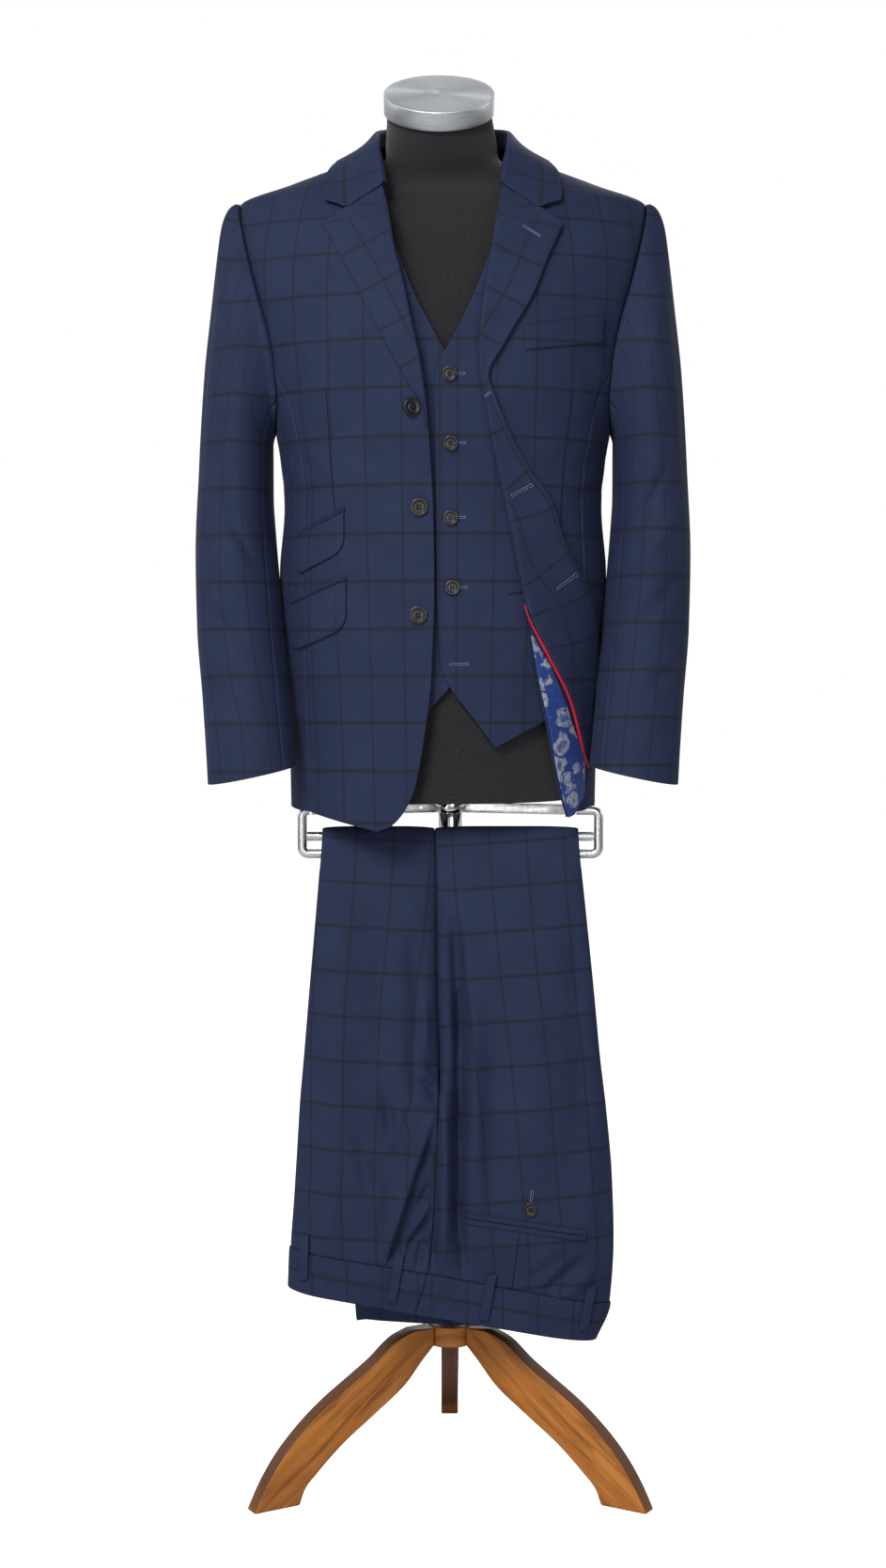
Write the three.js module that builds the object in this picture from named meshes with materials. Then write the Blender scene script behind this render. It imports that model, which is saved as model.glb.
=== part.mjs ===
// A three-piece suit on a limbless dress form with a chromed post, a trouser rail and a wooden tripod.
// Millimetres, +Z up, the suit faces -Y. The wearer's right side is at -X.
// Every cloth piece is a thin wall: the jacket and the waistcoat are panels of one body surface,
// worked out from its sections, and the sleeves and the trousers are rings along their own lines.
import * as THREE from 'three';

// ---------------------------------------------------------------- driving dimensions
const cloth = 2;                // thickness of a cloth wall
const seamHalfGap = 0.25;       // half the gap at a seam
const waistcoatOut = -8;        // waistcoat's face, measured from the jacket's
const underlapOut = -11.6;      // waistcoat's under front where the other front laps it
const centreShift = -58.15;     // the whole object moves by this in Y, to stand centred on its box
const postX = 8;                // the stand's axis stands a little to the wearer's left
const postRadius = 13;
const railY = -50;              // the trouser rail lies in front of the post
const railRadius = 5;
const railUpperZ = 728;
const railLowerZ = 709;
const railLeftX = -153;
const railRightX = 169;
const jacketButtonRadius = 9.5;
const waistcoatButtonRadius = 8;

// ---------------------------------------------------------------- tables and smooth lines
const table = (columns, ...rows) =>
  rows.map((row) => Object.fromEntries(columns.map((name, i) => [name, row[i]])));

/** A smooth line through a table's rows that never overshoots them, read by its first column. */
function lineThrough(rows, key) {
  const names = Object.keys(rows[0]).filter((name) => name !== key);
  const at = rows.map((row) => row[key]);
  const slopes = Object.fromEntries(names.map((name) => {
    const steps = at.slice(1).map((t, i) => (rows[i + 1][name] - rows[i][name]) / (t - at[i]));
    return [name, at.map((t, i) => {
      if (i === 0) return steps[0];
      if (i === at.length - 1) return steps[i - 1];
      const [before, after] = [steps[i - 1], steps[i]];
      return before * after <= 0 ? 0 : (2 * before * after) / (before + after);
    })];
  }));
  return (t) => {
    const place = Math.min(Math.max(t, at[0]), at[at.length - 1]);
    let i = at.findIndex((value) => value >= place) - 1;
    i = Math.max(i, 0);
    const span = at[i + 1] - at[i];
    const u = (place - at[i]) / span;
    const blend = (name) => rows[i][name] * (1 + 2 * u) * (1 - u) ** 2
      + slopes[name][i] * span * u * (1 - u) ** 2
      + rows[i + 1][name] * u * u * (3 - 2 * u)
      - slopes[name][i + 1] * span * u * u * (1 - u);
    return Object.fromEntries(names.map((name) => [name, blend(name)]));
  };
}
const mix = (a, b, t) => a + (b - a) * t;
const ease = (t) => {
  const u = Math.min(Math.max(t, 0), 1);
  return u * u * (3 - 2 * u);
};
const steps = (count) => Array.from({ length: count + 1 }, (_, i) => i / count);
const radians = THREE.MathUtils.degToRad;

// ---------------------------------------------------------------- the body surface
// The jacket's face at each height: half width, depth in front of and behind the axis, and how
// square the section is. Above the shoulder tips the sections shrink along the shoulder's slope.
const bodySection = lineThrough(table(
  ['z', 'side', 'front', 'back', 'power'],
  [730, 167, 121, 121, 2.3],
  [800, 168, 123, 124, 2.3],
  [900, 172, 121, 118, 2.3],
  [1010, 175, 118, 103, 2.3],
  [1084, 173, 117, 98, 2.3],
  [1165, 182, 122, 106, 2.3],
  [1230, 198, 127, 117, 2.3],
  [1300, 213, 125, 123, 2.3],
  [1350, 221, 115, 122, 2.25],
  [1385, 223, 101, 115, 2.15],
  [1408, 219, 85, 104, 2.05],
  [1430, 164, 66, 92, 2],
  [1452, 106, 44, 81, 2],
  [1466, 76, 28, 72, 2],
  [1480, 62, 20, 62, 2],
), 'z');

function skin(angle, z) {
  const part = bodySection(z);
  const [across, along] = [Math.sin(radians(angle)), Math.cos(radians(angle))];
  const depth = along > 0 ? part.front : part.back;
  const reach = ((Math.abs(across) / part.side) ** part.power
    + (Math.abs(along) / depth) ** part.power) ** (-1 / part.power);
  return new THREE.Vector3(reach * across, -reach * along, z);
}
/** A point of the body surface moved out along its normal. Angle 0 is the front, 90 the wearer's left. */
function bodyPoint(angle, z, out) {
  const across = skin(angle + 0.5, z).sub(skin(angle - 0.5, z));
  const up = skin(angle, z + 1).sub(skin(angle, z - 1));
  return skin(angle, z).addScaledVector(across.cross(up).normalize(), out);
}
/** The angle at which the front of the body surface has this x. */
function angleAt(x, z) {
  const part = bodySection(z);
  const share = Math.min(Math.abs(x) / part.side, 1);
  const depth = part.front * (1 - share ** part.power) ** (1 / part.power);
  return Math.sign(x) * THREE.MathUtils.radToDeg(Math.atan2(Math.abs(x), depth));
}

// ---------------------------------------------------------------- walls from grids of points
/** A closed solid between an outer and an inner grid of points, rows going up, columns to +X in front. */
function wallSolid(outer, inner) {
  const rows = outer.length;
  const columns = outer[0].length;
  const points = [...outer.flat(), ...inner.flat()];
  const index = (layer, r, c) => layer * rows * columns + r * columns + c;
  const faces = [];
  const quad = (a, b, c, d) => faces.push(a, b, c, a, c, d);
  for (let r = 0; r < rows - 1; r += 1) {
    for (let c = 0; c < columns - 1; c += 1) {
      quad(index(0, r, c), index(0, r, c + 1), index(0, r + 1, c + 1), index(0, r + 1, c));
      quad(index(1, r, c), index(1, r + 1, c), index(1, r + 1, c + 1), index(1, r, c + 1));
    }
    quad(index(0, r, 0), index(0, r + 1, 0), index(1, r + 1, 0), index(1, r, 0));
    quad(index(0, r + 1, columns - 1), index(0, r, columns - 1),
      index(1, r, columns - 1), index(1, r + 1, columns - 1));
  }
  for (let c = 0; c < columns - 1; c += 1) {
    quad(index(0, 0, c + 1), index(0, 0, c), index(1, 0, c), index(1, 0, c + 1));
    quad(index(0, rows - 1, c), index(0, rows - 1, c + 1),
      index(1, rows - 1, c + 1), index(1, rows - 1, c));
  }
  const geometry = new THREE.BufferGeometry();
  geometry.setAttribute('position', new THREE.Float32BufferAttribute(points.flatMap((p) => p.toArray()), 3));
  geometry.setIndex(faces);
  return geometry;
}
/** The grid moved along its own normals, which point out where its columns run to +X in front. */
function movedGrid(grid, distance) {
  const rows = grid.length;
  const columns = grid[0].length;
  return grid.map((row, r) => row.map((point, c) => {
    const across = row[Math.min(c + 1, columns - 1)].clone().sub(row[Math.max(c - 1, 0)]);
    const up = grid[Math.min(r + 1, rows - 1)][c].clone().sub(grid[Math.max(r - 1, 0)][c]);
    return point.clone().addScaledVector(across.cross(up).normalize(), distance);
  }));
}
const clothWall = (grid, thickness = cloth) => wallSolid(grid, movedGrid(grid, -thickness));
/** A piece of the body surface: its grid function is called once for its outer face, once for its inner. */
const bodyWall = (gridAt, thickness = cloth) => wallSolid(gridAt(0), gridAt(thickness));

/**
 * A panel between four edges, each a function from 0 to 1 to an angle and a height. It stops half a
 * seam gap inside them, and lies "out" from the body surface, less the depth into its own wall.
 */
function panelGrid({ left, right, bottom, top, rows, columns, out }, depth) {
  const straight = (from, to) => (t) => ({ angle: mix(from.angle, to.angle, t), z: mix(from.z, to.z, t) });
  const low = bottom ?? straight(left(0), right(0));
  const high = top ?? straight(left(1), right(1));
  const blend = (u, v, key) => mix(low(u)[key], high(u)[key], v) + mix(left(v)[key], right(v)[key], u)
    - mix(mix(left(0)[key], right(0)[key], u), mix(left(1)[key], right(1)[key], u), v);
  const topInset = seamHalfGap / 600;
  return rows.map((row) => {
    const v = row * (1 - topInset);
    const width = skin(left(v).angle, left(v).z).distanceTo(skin(right(v).angle, right(v).z));
    const inset = seamHalfGap / width;
    return steps(columns).map((step) => {
      const u = mix(inset, 1 - inset, step);
      const [angle, z] = [blend(u, v, 'angle'), blend(u, v, 'z')];
      return bodyPoint(angle, z, (typeof out === 'function' ? out(angle, z) : out) - depth);
    });
  });
}
const panelWall = (spec) => bodyWall((depth) => panelGrid(spec, depth));
/** The edge of the same panel on the wearer's other side. */
const mirrored = (edge) => (t) => ({ angle: -edge(t).angle, z: edge(t).z });
const backwards = (edge) => (t) => edge(1 - t);
/** A panel of the wearer's left side, or its mirror image on the right. */
const sidePanel = (side, { left, right, top, ...rest }) => panelWall(side > 0
  ? { left, right, top, ...rest }
  : { left: mirrored(right), right: mirrored(left), top: top && backwards(mirrored(top)), ...rest });

/** A piece laid on the front: each row runs from one place to another, some by way of a third. */
const bendShare = 0.6;
function laidGrid(rows, columns, out, depth) {
  return rows.map((row) => {
    const bend = row.midX === undefined
      ? { x: mix(row.fromX, row.toX, bendShare), z: mix(row.fromZ, row.toZ, bendShare) }
      : { x: row.midX, z: row.midZ };
    return steps(columns).map((u) => {
      const beyond = (u - bendShare) / (1 - bendShare);
      const x = u < bendShare ? mix(row.fromX, bend.x, u / bendShare) : mix(bend.x, row.toX, beyond);
      const z = u < bendShare ? mix(row.fromZ, bend.z, u / bendShare) : mix(bend.z, row.toZ, beyond);
      return bodyPoint(angleAt(x, z), z, (typeof out === 'function' ? out(u) : out) - depth);
    });
  });
}
const laidWall = (rows, columns, out, thickness = cloth) =>
  bodyWall((depth) => laidGrid(rows, columns, out, depth), thickness);

// ---------------------------------------------------------------- armholes
/** The jacket's armhole on the wearer's left: turn 0 is the shoulder tip, 90 its front, 180 the armpit. */
function armhole(turn) {
  const bulge = turn < 180 ? 18.5 : 20;
  const [low, high] = [1163, 1408];
  return {
    angle: 90 - bulge * Math.sin(radians(turn)) + 3.5 * Math.sin(radians(2 * turn)),
    z: mix(low, high, 0.5 + 0.5 * Math.cos(radians(turn))),
  };
}
function waistcoatArmhole(turn) {
  const bulge = turn < 180 ? 27 : 29;
  const [low, high] = [1128, 1434];
  return {
    angle: 90 - bulge * Math.sin(radians(turn)),
    z: mix(low, high, 0.5 + 0.5 * Math.cos(radians(turn))),
  };
}
/** A seam up from the hem that goes on along an armhole from one turn to another. */
const seamThenArmhole = (seam, hole, fromTurn, toTurn, meet) => (t) => (
  t < meet ? seam(t / meet) : hole(mix(fromTurn, toTurn, (t - meet) / (1 - meet))));
/** A shoulder seam up from the armhole that goes on round the neck to the centre back. */
const shoulderThenNeck = (tip, neck, back, meet) => (t) => {
  const [from, to, share] = t < meet ? [tip, neck, t / meet] : [neck, back, (t - meet) / (1 - meet)];
  return { angle: mix(from.angle, to.angle, share), z: mix(from.z, to.z, share) };
};
const centreBack = (hemZ, topZ) => (t) => ({ angle: 180, z: mix(hemZ, topZ, t) });

// ---------------------------------------------------------------- jacket body
const frontSeamTurn = 116;
const backSeamTurn = 244;
const frontSideSeam = lineThrough(table(
  ['at', 'angle', 'z'],
  [0, 63, 757],
  [0.3, 64, 890],
  [0.6, 64.4, 1040],
  [0.85, 65.5, 1165],
  [1, armhole(frontSeamTurn).angle, armhole(frontSeamTurn).z],
), 'at');
const backSideSeam = lineThrough(table(
  ['at', 'angle', 'z'],
  [0, 113, 759],
  [0.6, 112, 1040],
  [1, armhole(backSeamTurn).angle, armhole(backSeamTurn).z],
), 'at');
const neckPoint = { angle: 90, z: 1466 };
const jacketNeckBackZ = 1462;

/** An edge given by its x and z as seen from the front, which ends at the neck point of its own side. */
const frontEdge = (side, neck, ...rows) => lineThrough([
  ...table(['at', 'x', 'z'], ...rows).map(({ at, x, z }) => ({ at, angle: angleAt(x, z), z })),
  { at: 1, angle: side * neck.angle, z: neck.z },
], 'at');
// The right front: round lower corner, the edge with the buttons, and the lapel's roll line.
const rightFrontEdge = frontEdge(-1, neckPoint,
  [0, -71, 740], [0.02, -57, 745], [0.04, -43, 759], [0.07, -30, 786], [0.12, -20, 838],
  [0.2, -12, 905], [0.34, -9, 1004], [0.46, -10, 1075], [0.56, -14, 1151], [0.61, -17, 1190],
  [0.67, -21, 1223], [0.73, -29, 1263], [0.79, -42, 1320], [0.85, -50, 1352], [0.9, -56, 1388],
  [0.95, -63, 1417], [0.98, -70, 1448]);
// The left front ends at the fold where its edge is turned back, and at the roll line above.
const leftFoldEdge = frontEdge(1, neckPoint,
  [0, 133, 752], [0.07, 124, 782], [0.12, 117, 815], [0.2, 108, 862], [0.29, 99, 909],
  [0.36, 92, 952], [0.43, 83, 1000], [0.5, 73, 1049], [0.57, 62, 1100], [0.63, 50, 1158],
  [0.68, 41, 1205], [0.74, 37, 1250], [0.79, 41, 1290], [0.85, 50, 1345], [0.9, 56, 1388],
  [0.95, 63, 1417], [0.98, 70, 1448]);
const seamShare = 0.68;         // the share of a panel's rows below the armhole
const jacketRows = [0, 0.02, 0.04, 0.07, 0.12, 0.2, 0.34, 0.46, 0.56, 0.62, 0.68, 0.74, 0.8, 0.85, 0.9, 0.95, 0.98, 1];
const plainRows = jacketRows.filter((v) => v !== 0.02 && v !== 0.07);
const frontArmholeEdge = seamThenArmhole(frontSideSeam, armhole, frontSeamTurn, 0, seamShare);
const backArmholeEdge = seamThenArmhole(backSideSeam, armhole, backSeamTurn, 360, seamShare);

const jacketFrontRight = () => panelWall({
  left: mirrored(frontArmholeEdge), right: rightFrontEdge, rows: jacketRows, columns: 6, out: 0,
});
const jacketFrontLeft = () => panelWall({
  left: leftFoldEdge, right: frontArmholeEdge, rows: plainRows, columns: 6, out: 0,
});
const jacketSide = (side) => sidePanel(side, {
  left: frontSideSeam,
  right: backSideSeam,
  top: (t) => armhole(mix(frontSeamTurn, backSeamTurn, t)),
  rows: plainRows.filter((v) => v <= seamShare).map((v) => v / seamShare),
  columns: 6,
  out: 0,
});
const jacketBack = (side) => sidePanel(side, {
  left: backArmholeEdge,
  right: centreBack(760, jacketNeckBackZ),
  top: shoulderThenNeck(armhole(360), neckPoint, { angle: 180, z: jacketNeckBackZ }, 0.5),
  rows: plainRows,
  columns: 8,
  out: 0,
});

// ---------------------------------------------------------------- lapels, facing and lining
const straightColumns = ['fromX', 'fromZ', 'toX', 'toZ'];
const bentColumns = ['fromX', 'fromZ', 'midX', 'midZ', 'toX', 'toZ'];
/** Cloth turned back lies close to the panel and rises where it rolls over the edge. */
const rolledOut = (u) => 4.6 + 2 * Math.exp(-u / 0.18);
const rightLapel = () => laidWall([
  ...table(straightColumns,
    [-18.5, 1166, -16, 1167],
    [-22, 1190, -17.5, 1190],
    [-31, 1204, -19, 1205],
    [-52, 1240, -24, 1240],
    [-69, 1272, -32, 1275],
    [-92, 1318, -42, 1322],
    [-110, 1350, -50, 1352],
    [-124, 1377, -56, 1388]),
  ...table(bentColumns, [-122.5, 1379.5, -100, 1396, -63, 1417]),
], 5, (u) => rolledOut(1 - u));
const leftLapelAndFacing = () => laidWall([
  ...table(straightColumns,
    [155.5, 806, 158, 807],
    [150.5, 820, 159, 822],
    [134.5, 879, 161, 881],
    [110.5, 928, 163, 931],
    [88.5, 975, 157, 979],
    [73, 1049, 126, 1048],
    [65, 1088, 113, 1090],
    [58, 1120, 91, 1121],
    [50, 1158, 70, 1160],
    [43, 1198, 54, 1198],
    [38, 1221, 47, 1220],
    [37, 1253, 62, 1250],
    [44, 1315, 95, 1308],
    [50, 1349, 109, 1343],
    [56, 1388, 124, 1377]),
  ...table(bentColumns, [63, 1417, 98, 1396, 122.5, 1379.5]),
], 5, (u) => rolledOut(u));
const leftLining = () => laidWall(table(straightColumns,
  [133.5, 752, 140, 755],
  [128, 770, 151, 779],
  [120, 805, 151, 808],
  [110.5, 857, 138, 850],
  [100, 905, 118, 905],
  [92, 950, 94, 948],
), 3, 3.2);
const leftPiping = () => laidWall(table(straightColumns,
  [153.2, 804.5, 155, 804.7],
  [147.8, 820, 149.8, 820],
  [132, 879, 133.9, 879],
  [108, 928, 109.9, 928],
  [86, 975, 87.9, 975],
), 1, 3.7, 1.8);

// ---------------------------------------------------------------- pockets
const breastWelt = () => laidWall(table(straightColumns,
  [85.5, 1246, 168.5, 1256],
  [84.5, 1270, 169, 1283],
), 5, 2.8);
/** A flap with round lower corners, hanging from a slanting edge between two places on the front. */
function pocketFlap({ fromX, fromZ, toX, toZ, drop, radius }) {
  const slope = (toZ - fromZ) / (toX - fromX);
  return bodyWall((depth) => [1, 0.88, 0.7, 0.4, 0].map((share) => {
    const below = Math.max(share * drop - (drop - radius), 0) / radius;
    const inset = radius * (1 - Math.sqrt(1 - below ** 2));
    return steps(5).map((u) => {
      const x = mix(fromX + inset, toX - inset, u);
      const z = fromZ + (x - fromX) * slope - share * drop;
      return bodyPoint(angleAt(x, z), z, 3.2 - depth);
    });
  }));
}
const pocketJet = (fromX, fromZ, toX, toZ, height) => laidWall(table(straightColumns,
  [fromX, fromZ, toX, toZ],
  [fromX, fromZ + height, toX, toZ + height],
), 5, 2.6, 1.6);

// ---------------------------------------------------------------- collar
// Half of the collar from its end at the notch to the centre back. The seam is sewn to the neck,
// the fold stands up round it, and the edge lies on the body surface.
const collarLine = lineThrough(table(
  ['at', 'seamX', 'seamY', 'seamZ', 'foldX', 'foldY', 'foldZ', 'edgeAngle', 'edgeZ'],
  [0, 60, -71, 1421, 63.5, -81, 1423, 59, 1409],
  [1, 62, -56, 1437, 68, -61, 1447, 69, 1428],
  [2, 67, -30, 1457, 72, -34, 1470, 84, 1448],
  [3, 70, 4, 1470, 74, 4, 1488, 100, 1452],
  [4, 60, 42, 1474, 63, 46, 1498, 125, 1449],
  [5, 33, 64, 1472, 35, 70, 1502, 152, 1447],
  [6, 0, 70, 1471, 0, 77, 1503, 180, 1446],
), 'at');
function collarGrid() {
  const across = (at, side) => {
    const row = collarLine(at);
    const edge = bodyPoint(row.edgeAngle, row.edgeZ, 5);
    const seam = new THREE.Vector3(row.seamX, row.seamY, row.seamZ);
    const fold = new THREE.Vector3(row.foldX, row.foldY, row.foldZ);
    const outward = edge.clone().sub(seam).setZ(0).normalize();
    const brow = fold.clone().addScaledVector(outward, 3.5);
    const middle = fold.clone().lerp(edge, 0.45).addScaledVector(outward, 4);
    return [edge, middle, brow, fold, seam].map((p) => new THREE.Vector3(p.x * side, p.y, p.z));
  };
  const places = [0, 0.7, 1.4, 2.2, 3, 4, 5];
  const columns = [
    ...places.map((at) => across(at, -1)),
    across(6, 1),
    ...places.slice().reverse().map((at) => across(at, 1)),
  ];
  return columns[0].map((_, r) => columns.map((column) => column[r]));
}

// ---------------------------------------------------------------- sleeves
// Rings of the left sleeve from under the shoulder to the hem: the outermost and the innermost
// point, the middle in Y, and the half depth.
const sleeveRings = table(
  ['outerX', 'outerZ', 'innerX', 'innerZ', 'y', 'depth'],
  [227, 1409, 184.6, 1159, -3, 65],
  [234, 1400, 185, 1151, -3, 69],
  [241, 1372, 185, 1142, -3, 71.5],
  [250, 1305, 185, 1124, -3, 72],
  [259, 1225, 184.8, 1095, -5, 70],
  [265, 1130, 184, 1052, -10, 65],
  [268, 1040, 183.5, 1005, -20, 58],
  [266, 955, 180.5, 940, -38, 52],
  [259, 880, 173, 878, -60, 48],
  [254, 820, 164.5, 832, -78, 45],
  [252, 788, 160.5, 808, -84, 44],
);
const sleeveHeadGap = 1.2;
/** Half of a sleeve between two turns round it, in rows from the hem up to the armhole. */
function sleeveGrid(side, fromTurn, toTurn, columns, depth) {
  const holeCentre = bodyPoint(90, mix(armhole(180).z, armhole(0).z, 0.5), 0);
  const head = (turn) => {
    const { angle, z } = armhole((turn + 360) % 360);
    const edge = bodyPoint(angle, z, 0);
    const inward = new THREE.Vector3(0, holeCentre.y - edge.y, holeCentre.z - edge.z).normalize();
    return edge.addScaledVector(inward, depth).add(new THREE.Vector3(sleeveHeadGap, 0, 0));
  };
  const ring = (row) => {
    const outermost = new THREE.Vector3(row.outerX, row.y, row.outerZ);
    const innermost = new THREE.Vector3(row.innerX, row.y, row.innerZ);
    const half = outermost.clone().sub(innermost).divideScalar(2);
    const centre = innermost.clone().add(half);
    half.setLength(half.length() - depth);
    return (turn) => centre.clone()
      .addScaledVector(half, Math.cos(radians(turn)))
      .add(new THREE.Vector3(0, -(row.depth - depth) * Math.sin(radians(turn)), 0));
  };
  const turns = steps(columns).map((t) => mix(fromTurn, toTurn, t));
  const rows = [...sleeveRings.slice().reverse().map(ring), head];
  return rows.map((place) => {
    const line = turns.map(place).map((p) => new THREE.Vector3(p.x * side, p.y, p.z));
    return side > 0 ? line : line.reverse();
  });
}
const sleeveSeamTurn = 112;
const seamTurn = 0.35;          // half the gap at a sleeve's seam, in degrees round it
const sleeveTop = (side) => bodyWall((depth) =>
  sleeveGrid(side, sleeveSeamTurn - seamTurn, seamTurn - sleeveSeamTurn, 9, depth));
const sleeveUnder = (side) => bodyWall((depth) =>
  sleeveGrid(side, 360 - sleeveSeamTurn - seamTurn, sleeveSeamTurn + seamTurn, 5, depth));

// ---------------------------------------------------------------- waistcoat
const waistcoatSide = lineThrough(table(['at', 'angle', 'z'], [0, 91, 905], [1, 90, 1128]), 'at');
const waistcoatFrontSideEdge = seamThenArmhole(waistcoatSide, waistcoatArmhole, 180, 0, 0.45);
const waistcoatBackSideEdge = seamThenArmhole(waistcoatSide, waistcoatArmhole, 180, 360, 0.45);
const waistcoatNeckPoint = { angle: 90, z: 1459 };
// The left front laps over the right one, and both are cut away to a point below the last button.
const waistcoatLeftEdge = frontEdge(1, waistcoatNeckPoint,
  [0, 57, 829], [0.06, 33, 861], [0.12, 7, 894], [0.15, -2, 915], [0.18, -4, 935], [0.27, -7, 984],
  [0.42, -8, 1102], [0.56, -8, 1222], [0.6, -4, 1237], [0.63, 2, 1246], [0.7, 26, 1291],
  [0.79, 49, 1349], [0.87, 60, 1392], [0.94, 70, 1435]);
const waistcoatRightEdge = frontEdge(-1, waistcoatNeckPoint,
  [0, -44, 829], [0.06, -16, 868], [0.11, 7, 893], [0.15, 18, 912], [0.18, 20, 940], [0.27, 20, 984],
  [0.42, 20, 1102], [0.54, 20, 1205], [0.58, 14, 1225], [0.63, 2, 1246], [0.7, -24, 1293],
  [0.79, -47, 1349], [0.87, -60, 1392], [0.94, -70, 1435]);
const waistcoatRows = [0, 0.06, 0.12, 0.15, 0.18, 0.27, 0.36, 0.45, 0.54, 0.59, 0.63, 0.7, 0.79, 0.87, 0.94, 1];
const waistcoatFrontLeft = () => panelWall({
  left: waistcoatLeftEdge, right: waistcoatFrontSideEdge, rows: waistcoatRows, columns: 6, out: waistcoatOut,
});
const waistcoatFrontRight = () => panelWall({
  left: mirrored(waistcoatFrontSideEdge), right: waistcoatRightEdge, rows: waistcoatRows, columns: 8,
  out: (angle) => mix(waistcoatOut, underlapOut, ease((angle + 16) / 8)),
});
const waistcoatBack = (side) => sidePanel(side, {
  left: waistcoatBackSideEdge,
  right: centreBack(900, 1456),
  top: shoulderThenNeck(waistcoatArmhole(360), waistcoatNeckPoint, { angle: 180, z: 1456 }, 0.4),
  rows: steps(12),
  columns: 6,
  out: waistcoatOut,
});
const waistcoatWelt = () => laidWall(table(straightColumns,
  [70, 992, 140, 1002],
  [71, 1014, 140, 1024],
), 4, waistcoatOut + 2.6);

// ---------------------------------------------------------------- trousers
// Stations of the half that hangs in front, from the waist up to the rail: the left edge, the middle
// and the right edge, the middle layer in Y, half the thickness, and how far the two legs are one.
const frontStation = lineThrough(table(
  ['at', 'leftX', 'leftZ', 'middleX', 'middleZ', 'rightX', 'rightZ', 'y', 'half', 'seat'],
  [0, -169, 239, -30, 214, 167, 180, -84, 26, 1],
  [45, -167, 284, -17, 259, 183, 222, -85, 27, 1],
  [100, -163.5, 330, -11, 312, 187, 290, -86, 28, 1],
  [165, -160, 382, -8, 375, 185, 357, -85, 27, 1],
  [235, -156, 446, -5, 440, 178, 437, -82, 24, 0.75],
  [262, -154, 468, -4, 463, 175, 462, -81, 22, 0.15],
  [285, -152, 490, -4, 487, 172, 486, -80, 21, 0],
  [360, -146, 560, -6, 560, 165, 558, -77, 18, 0],
  [450, -138.5, 645, -7, 645, 156, 645, -72, 13.5, 0],
  [505, -134, 700, -8, 702, 150, 702, -64, 7, 0],
), 'at');
// The half that hangs behind the rail, from the rail down to the hems.
const rearStation = lineThrough(table(
  ['at', 'leftX', 'leftZ', 'middleX', 'middleZ', 'rightX', 'rightZ', 'y', 'half', 'seat'],
  [0, -131, 712, -8, 712, 147, 712, -38.6, 4, 0],
  [60, -128, 650, -6, 650, 144, 650, -33, 8.5, 0],
  [180, -120, 530, -3, 530, 139, 530, -31, 11, 0],
  [360, -109, 350, 3, 350, 131, 350, -31, 11.5, 0],
  [530, -98, 188, 8, 181, 121, 179, -31, 12, 0],
), 'at');
const rearLength = 530;
const foldedHalf = 2.7;         // half the thickness of a leg pressed flat over the rail
const foldStation = { leftX: -132, leftZ: 0, middleX: -9, middleZ: 0, rightX: 148, rightZ: 0, half: foldedHalf, seat: 0 };
const waistbandTop = 45;
const kneeTurns = [-60, -20, 20, 60];
const across = [0, 0.05, 0.14, 0.3, 0.55, 0.75, 0.9, 1];

/**
 * A point of one leg's cross section: u runs from the side seam to the middle, face 1 is the back of
 * the trousers and -1 their front, and depth is the distance into the cloth.
 */
function legPoint(row, side, face, u, depth) {
  const inset = Math.sign(side) * depth;
  const [edgeX, edgeZ] = side < 0 ? [row.leftX, row.leftZ] : [row.rightX, row.rightZ];
  const middleGap = side * 0.4;
  const sideRound = Math.sqrt(Math.max(1 - (1 - Math.min(u / 0.3, 1)) ** 2, 0));
  const innerRound = Math.sqrt(Math.max(1 - Math.max((u - 0.7) / 0.3, 0) ** 2, 0));
  const bulge = sideRound * mix(innerRound, 1, row.seat);
  const middleX = row.middleX + middleGap + inset * (1 - row.seat);
  const half = row.half * bulge - depth * Math.min(bulge * 3, 1);
  return {
    x: mix(edgeX - inset, middleX, u),
    z: mix(edgeZ, row.middleZ, u),
    lift: face * Math.max(half, 0) + face * 0.25,
  };
}
const frontLegPoint = (at, side, face, u, depth) => {
  const row = frontStation(at);
  const point = legPoint(row, side, face, u, depth);
  return new THREE.Vector3(point.x, row.y - point.lift, point.z);
};
function trouserGrid(side, face, depth) {
  const hanging = [waistbandTop + 0.6, 70, 100, 165, 235, 262, 285, 360, 450, 505];
  const line = (point) => {
    const points = (side < 0 ? across : across.slice().reverse()).map(point);
    return face > 0 ? points : points.reverse();
  };
  return [
    ...hanging.map((at) => line((u) => frontLegPoint(at, side, face, u, depth))),
    ...kneeTurns.map((turn) => line((u) => {
      const point = legPoint(foldStation, side, face, u, depth);
      const reach = railRadius + 0.5 + foldedHalf + 0.25 + point.lift;
      return new THREE.Vector3(
        point.x,
        railY + reach * Math.sin(radians(turn)),
        railUpperZ + reach * Math.cos(radians(turn)),
      );
    })),
    ...[0, 60, 180, 360, rearLength].map((at) => line((u) => {
      const row = rearStation(at);
      const point = legPoint(row, side, face, u, depth);
      return new THREE.Vector3(point.x, row.y + point.lift, point.z);
    })),
  ];
}
const trouserPanel = (side, face) => bodyWall((depth) => trouserGrid(side, face, depth));
/** Half of the waistband, from the centre back round the side to the centre front. */
function waistbandHalf(side) {
  const places = [
    ...across.slice(1).reverse().map((u) => ({ face: 1, u })),
    { face: 0, u: 0 },
    ...across.slice(1).map((u) => ({ face: -1, u })),
  ];
  return bodyWall((depth) => [0, waistbandTop / 2, waistbandTop].map((at) => {
    const line = places.map(({ face, u }) => frontLegPoint(at, side, face, u, depth - 0.6));
    return side > 0 ? line : line.reverse();
  }), cloth + 0.8);
}
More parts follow.
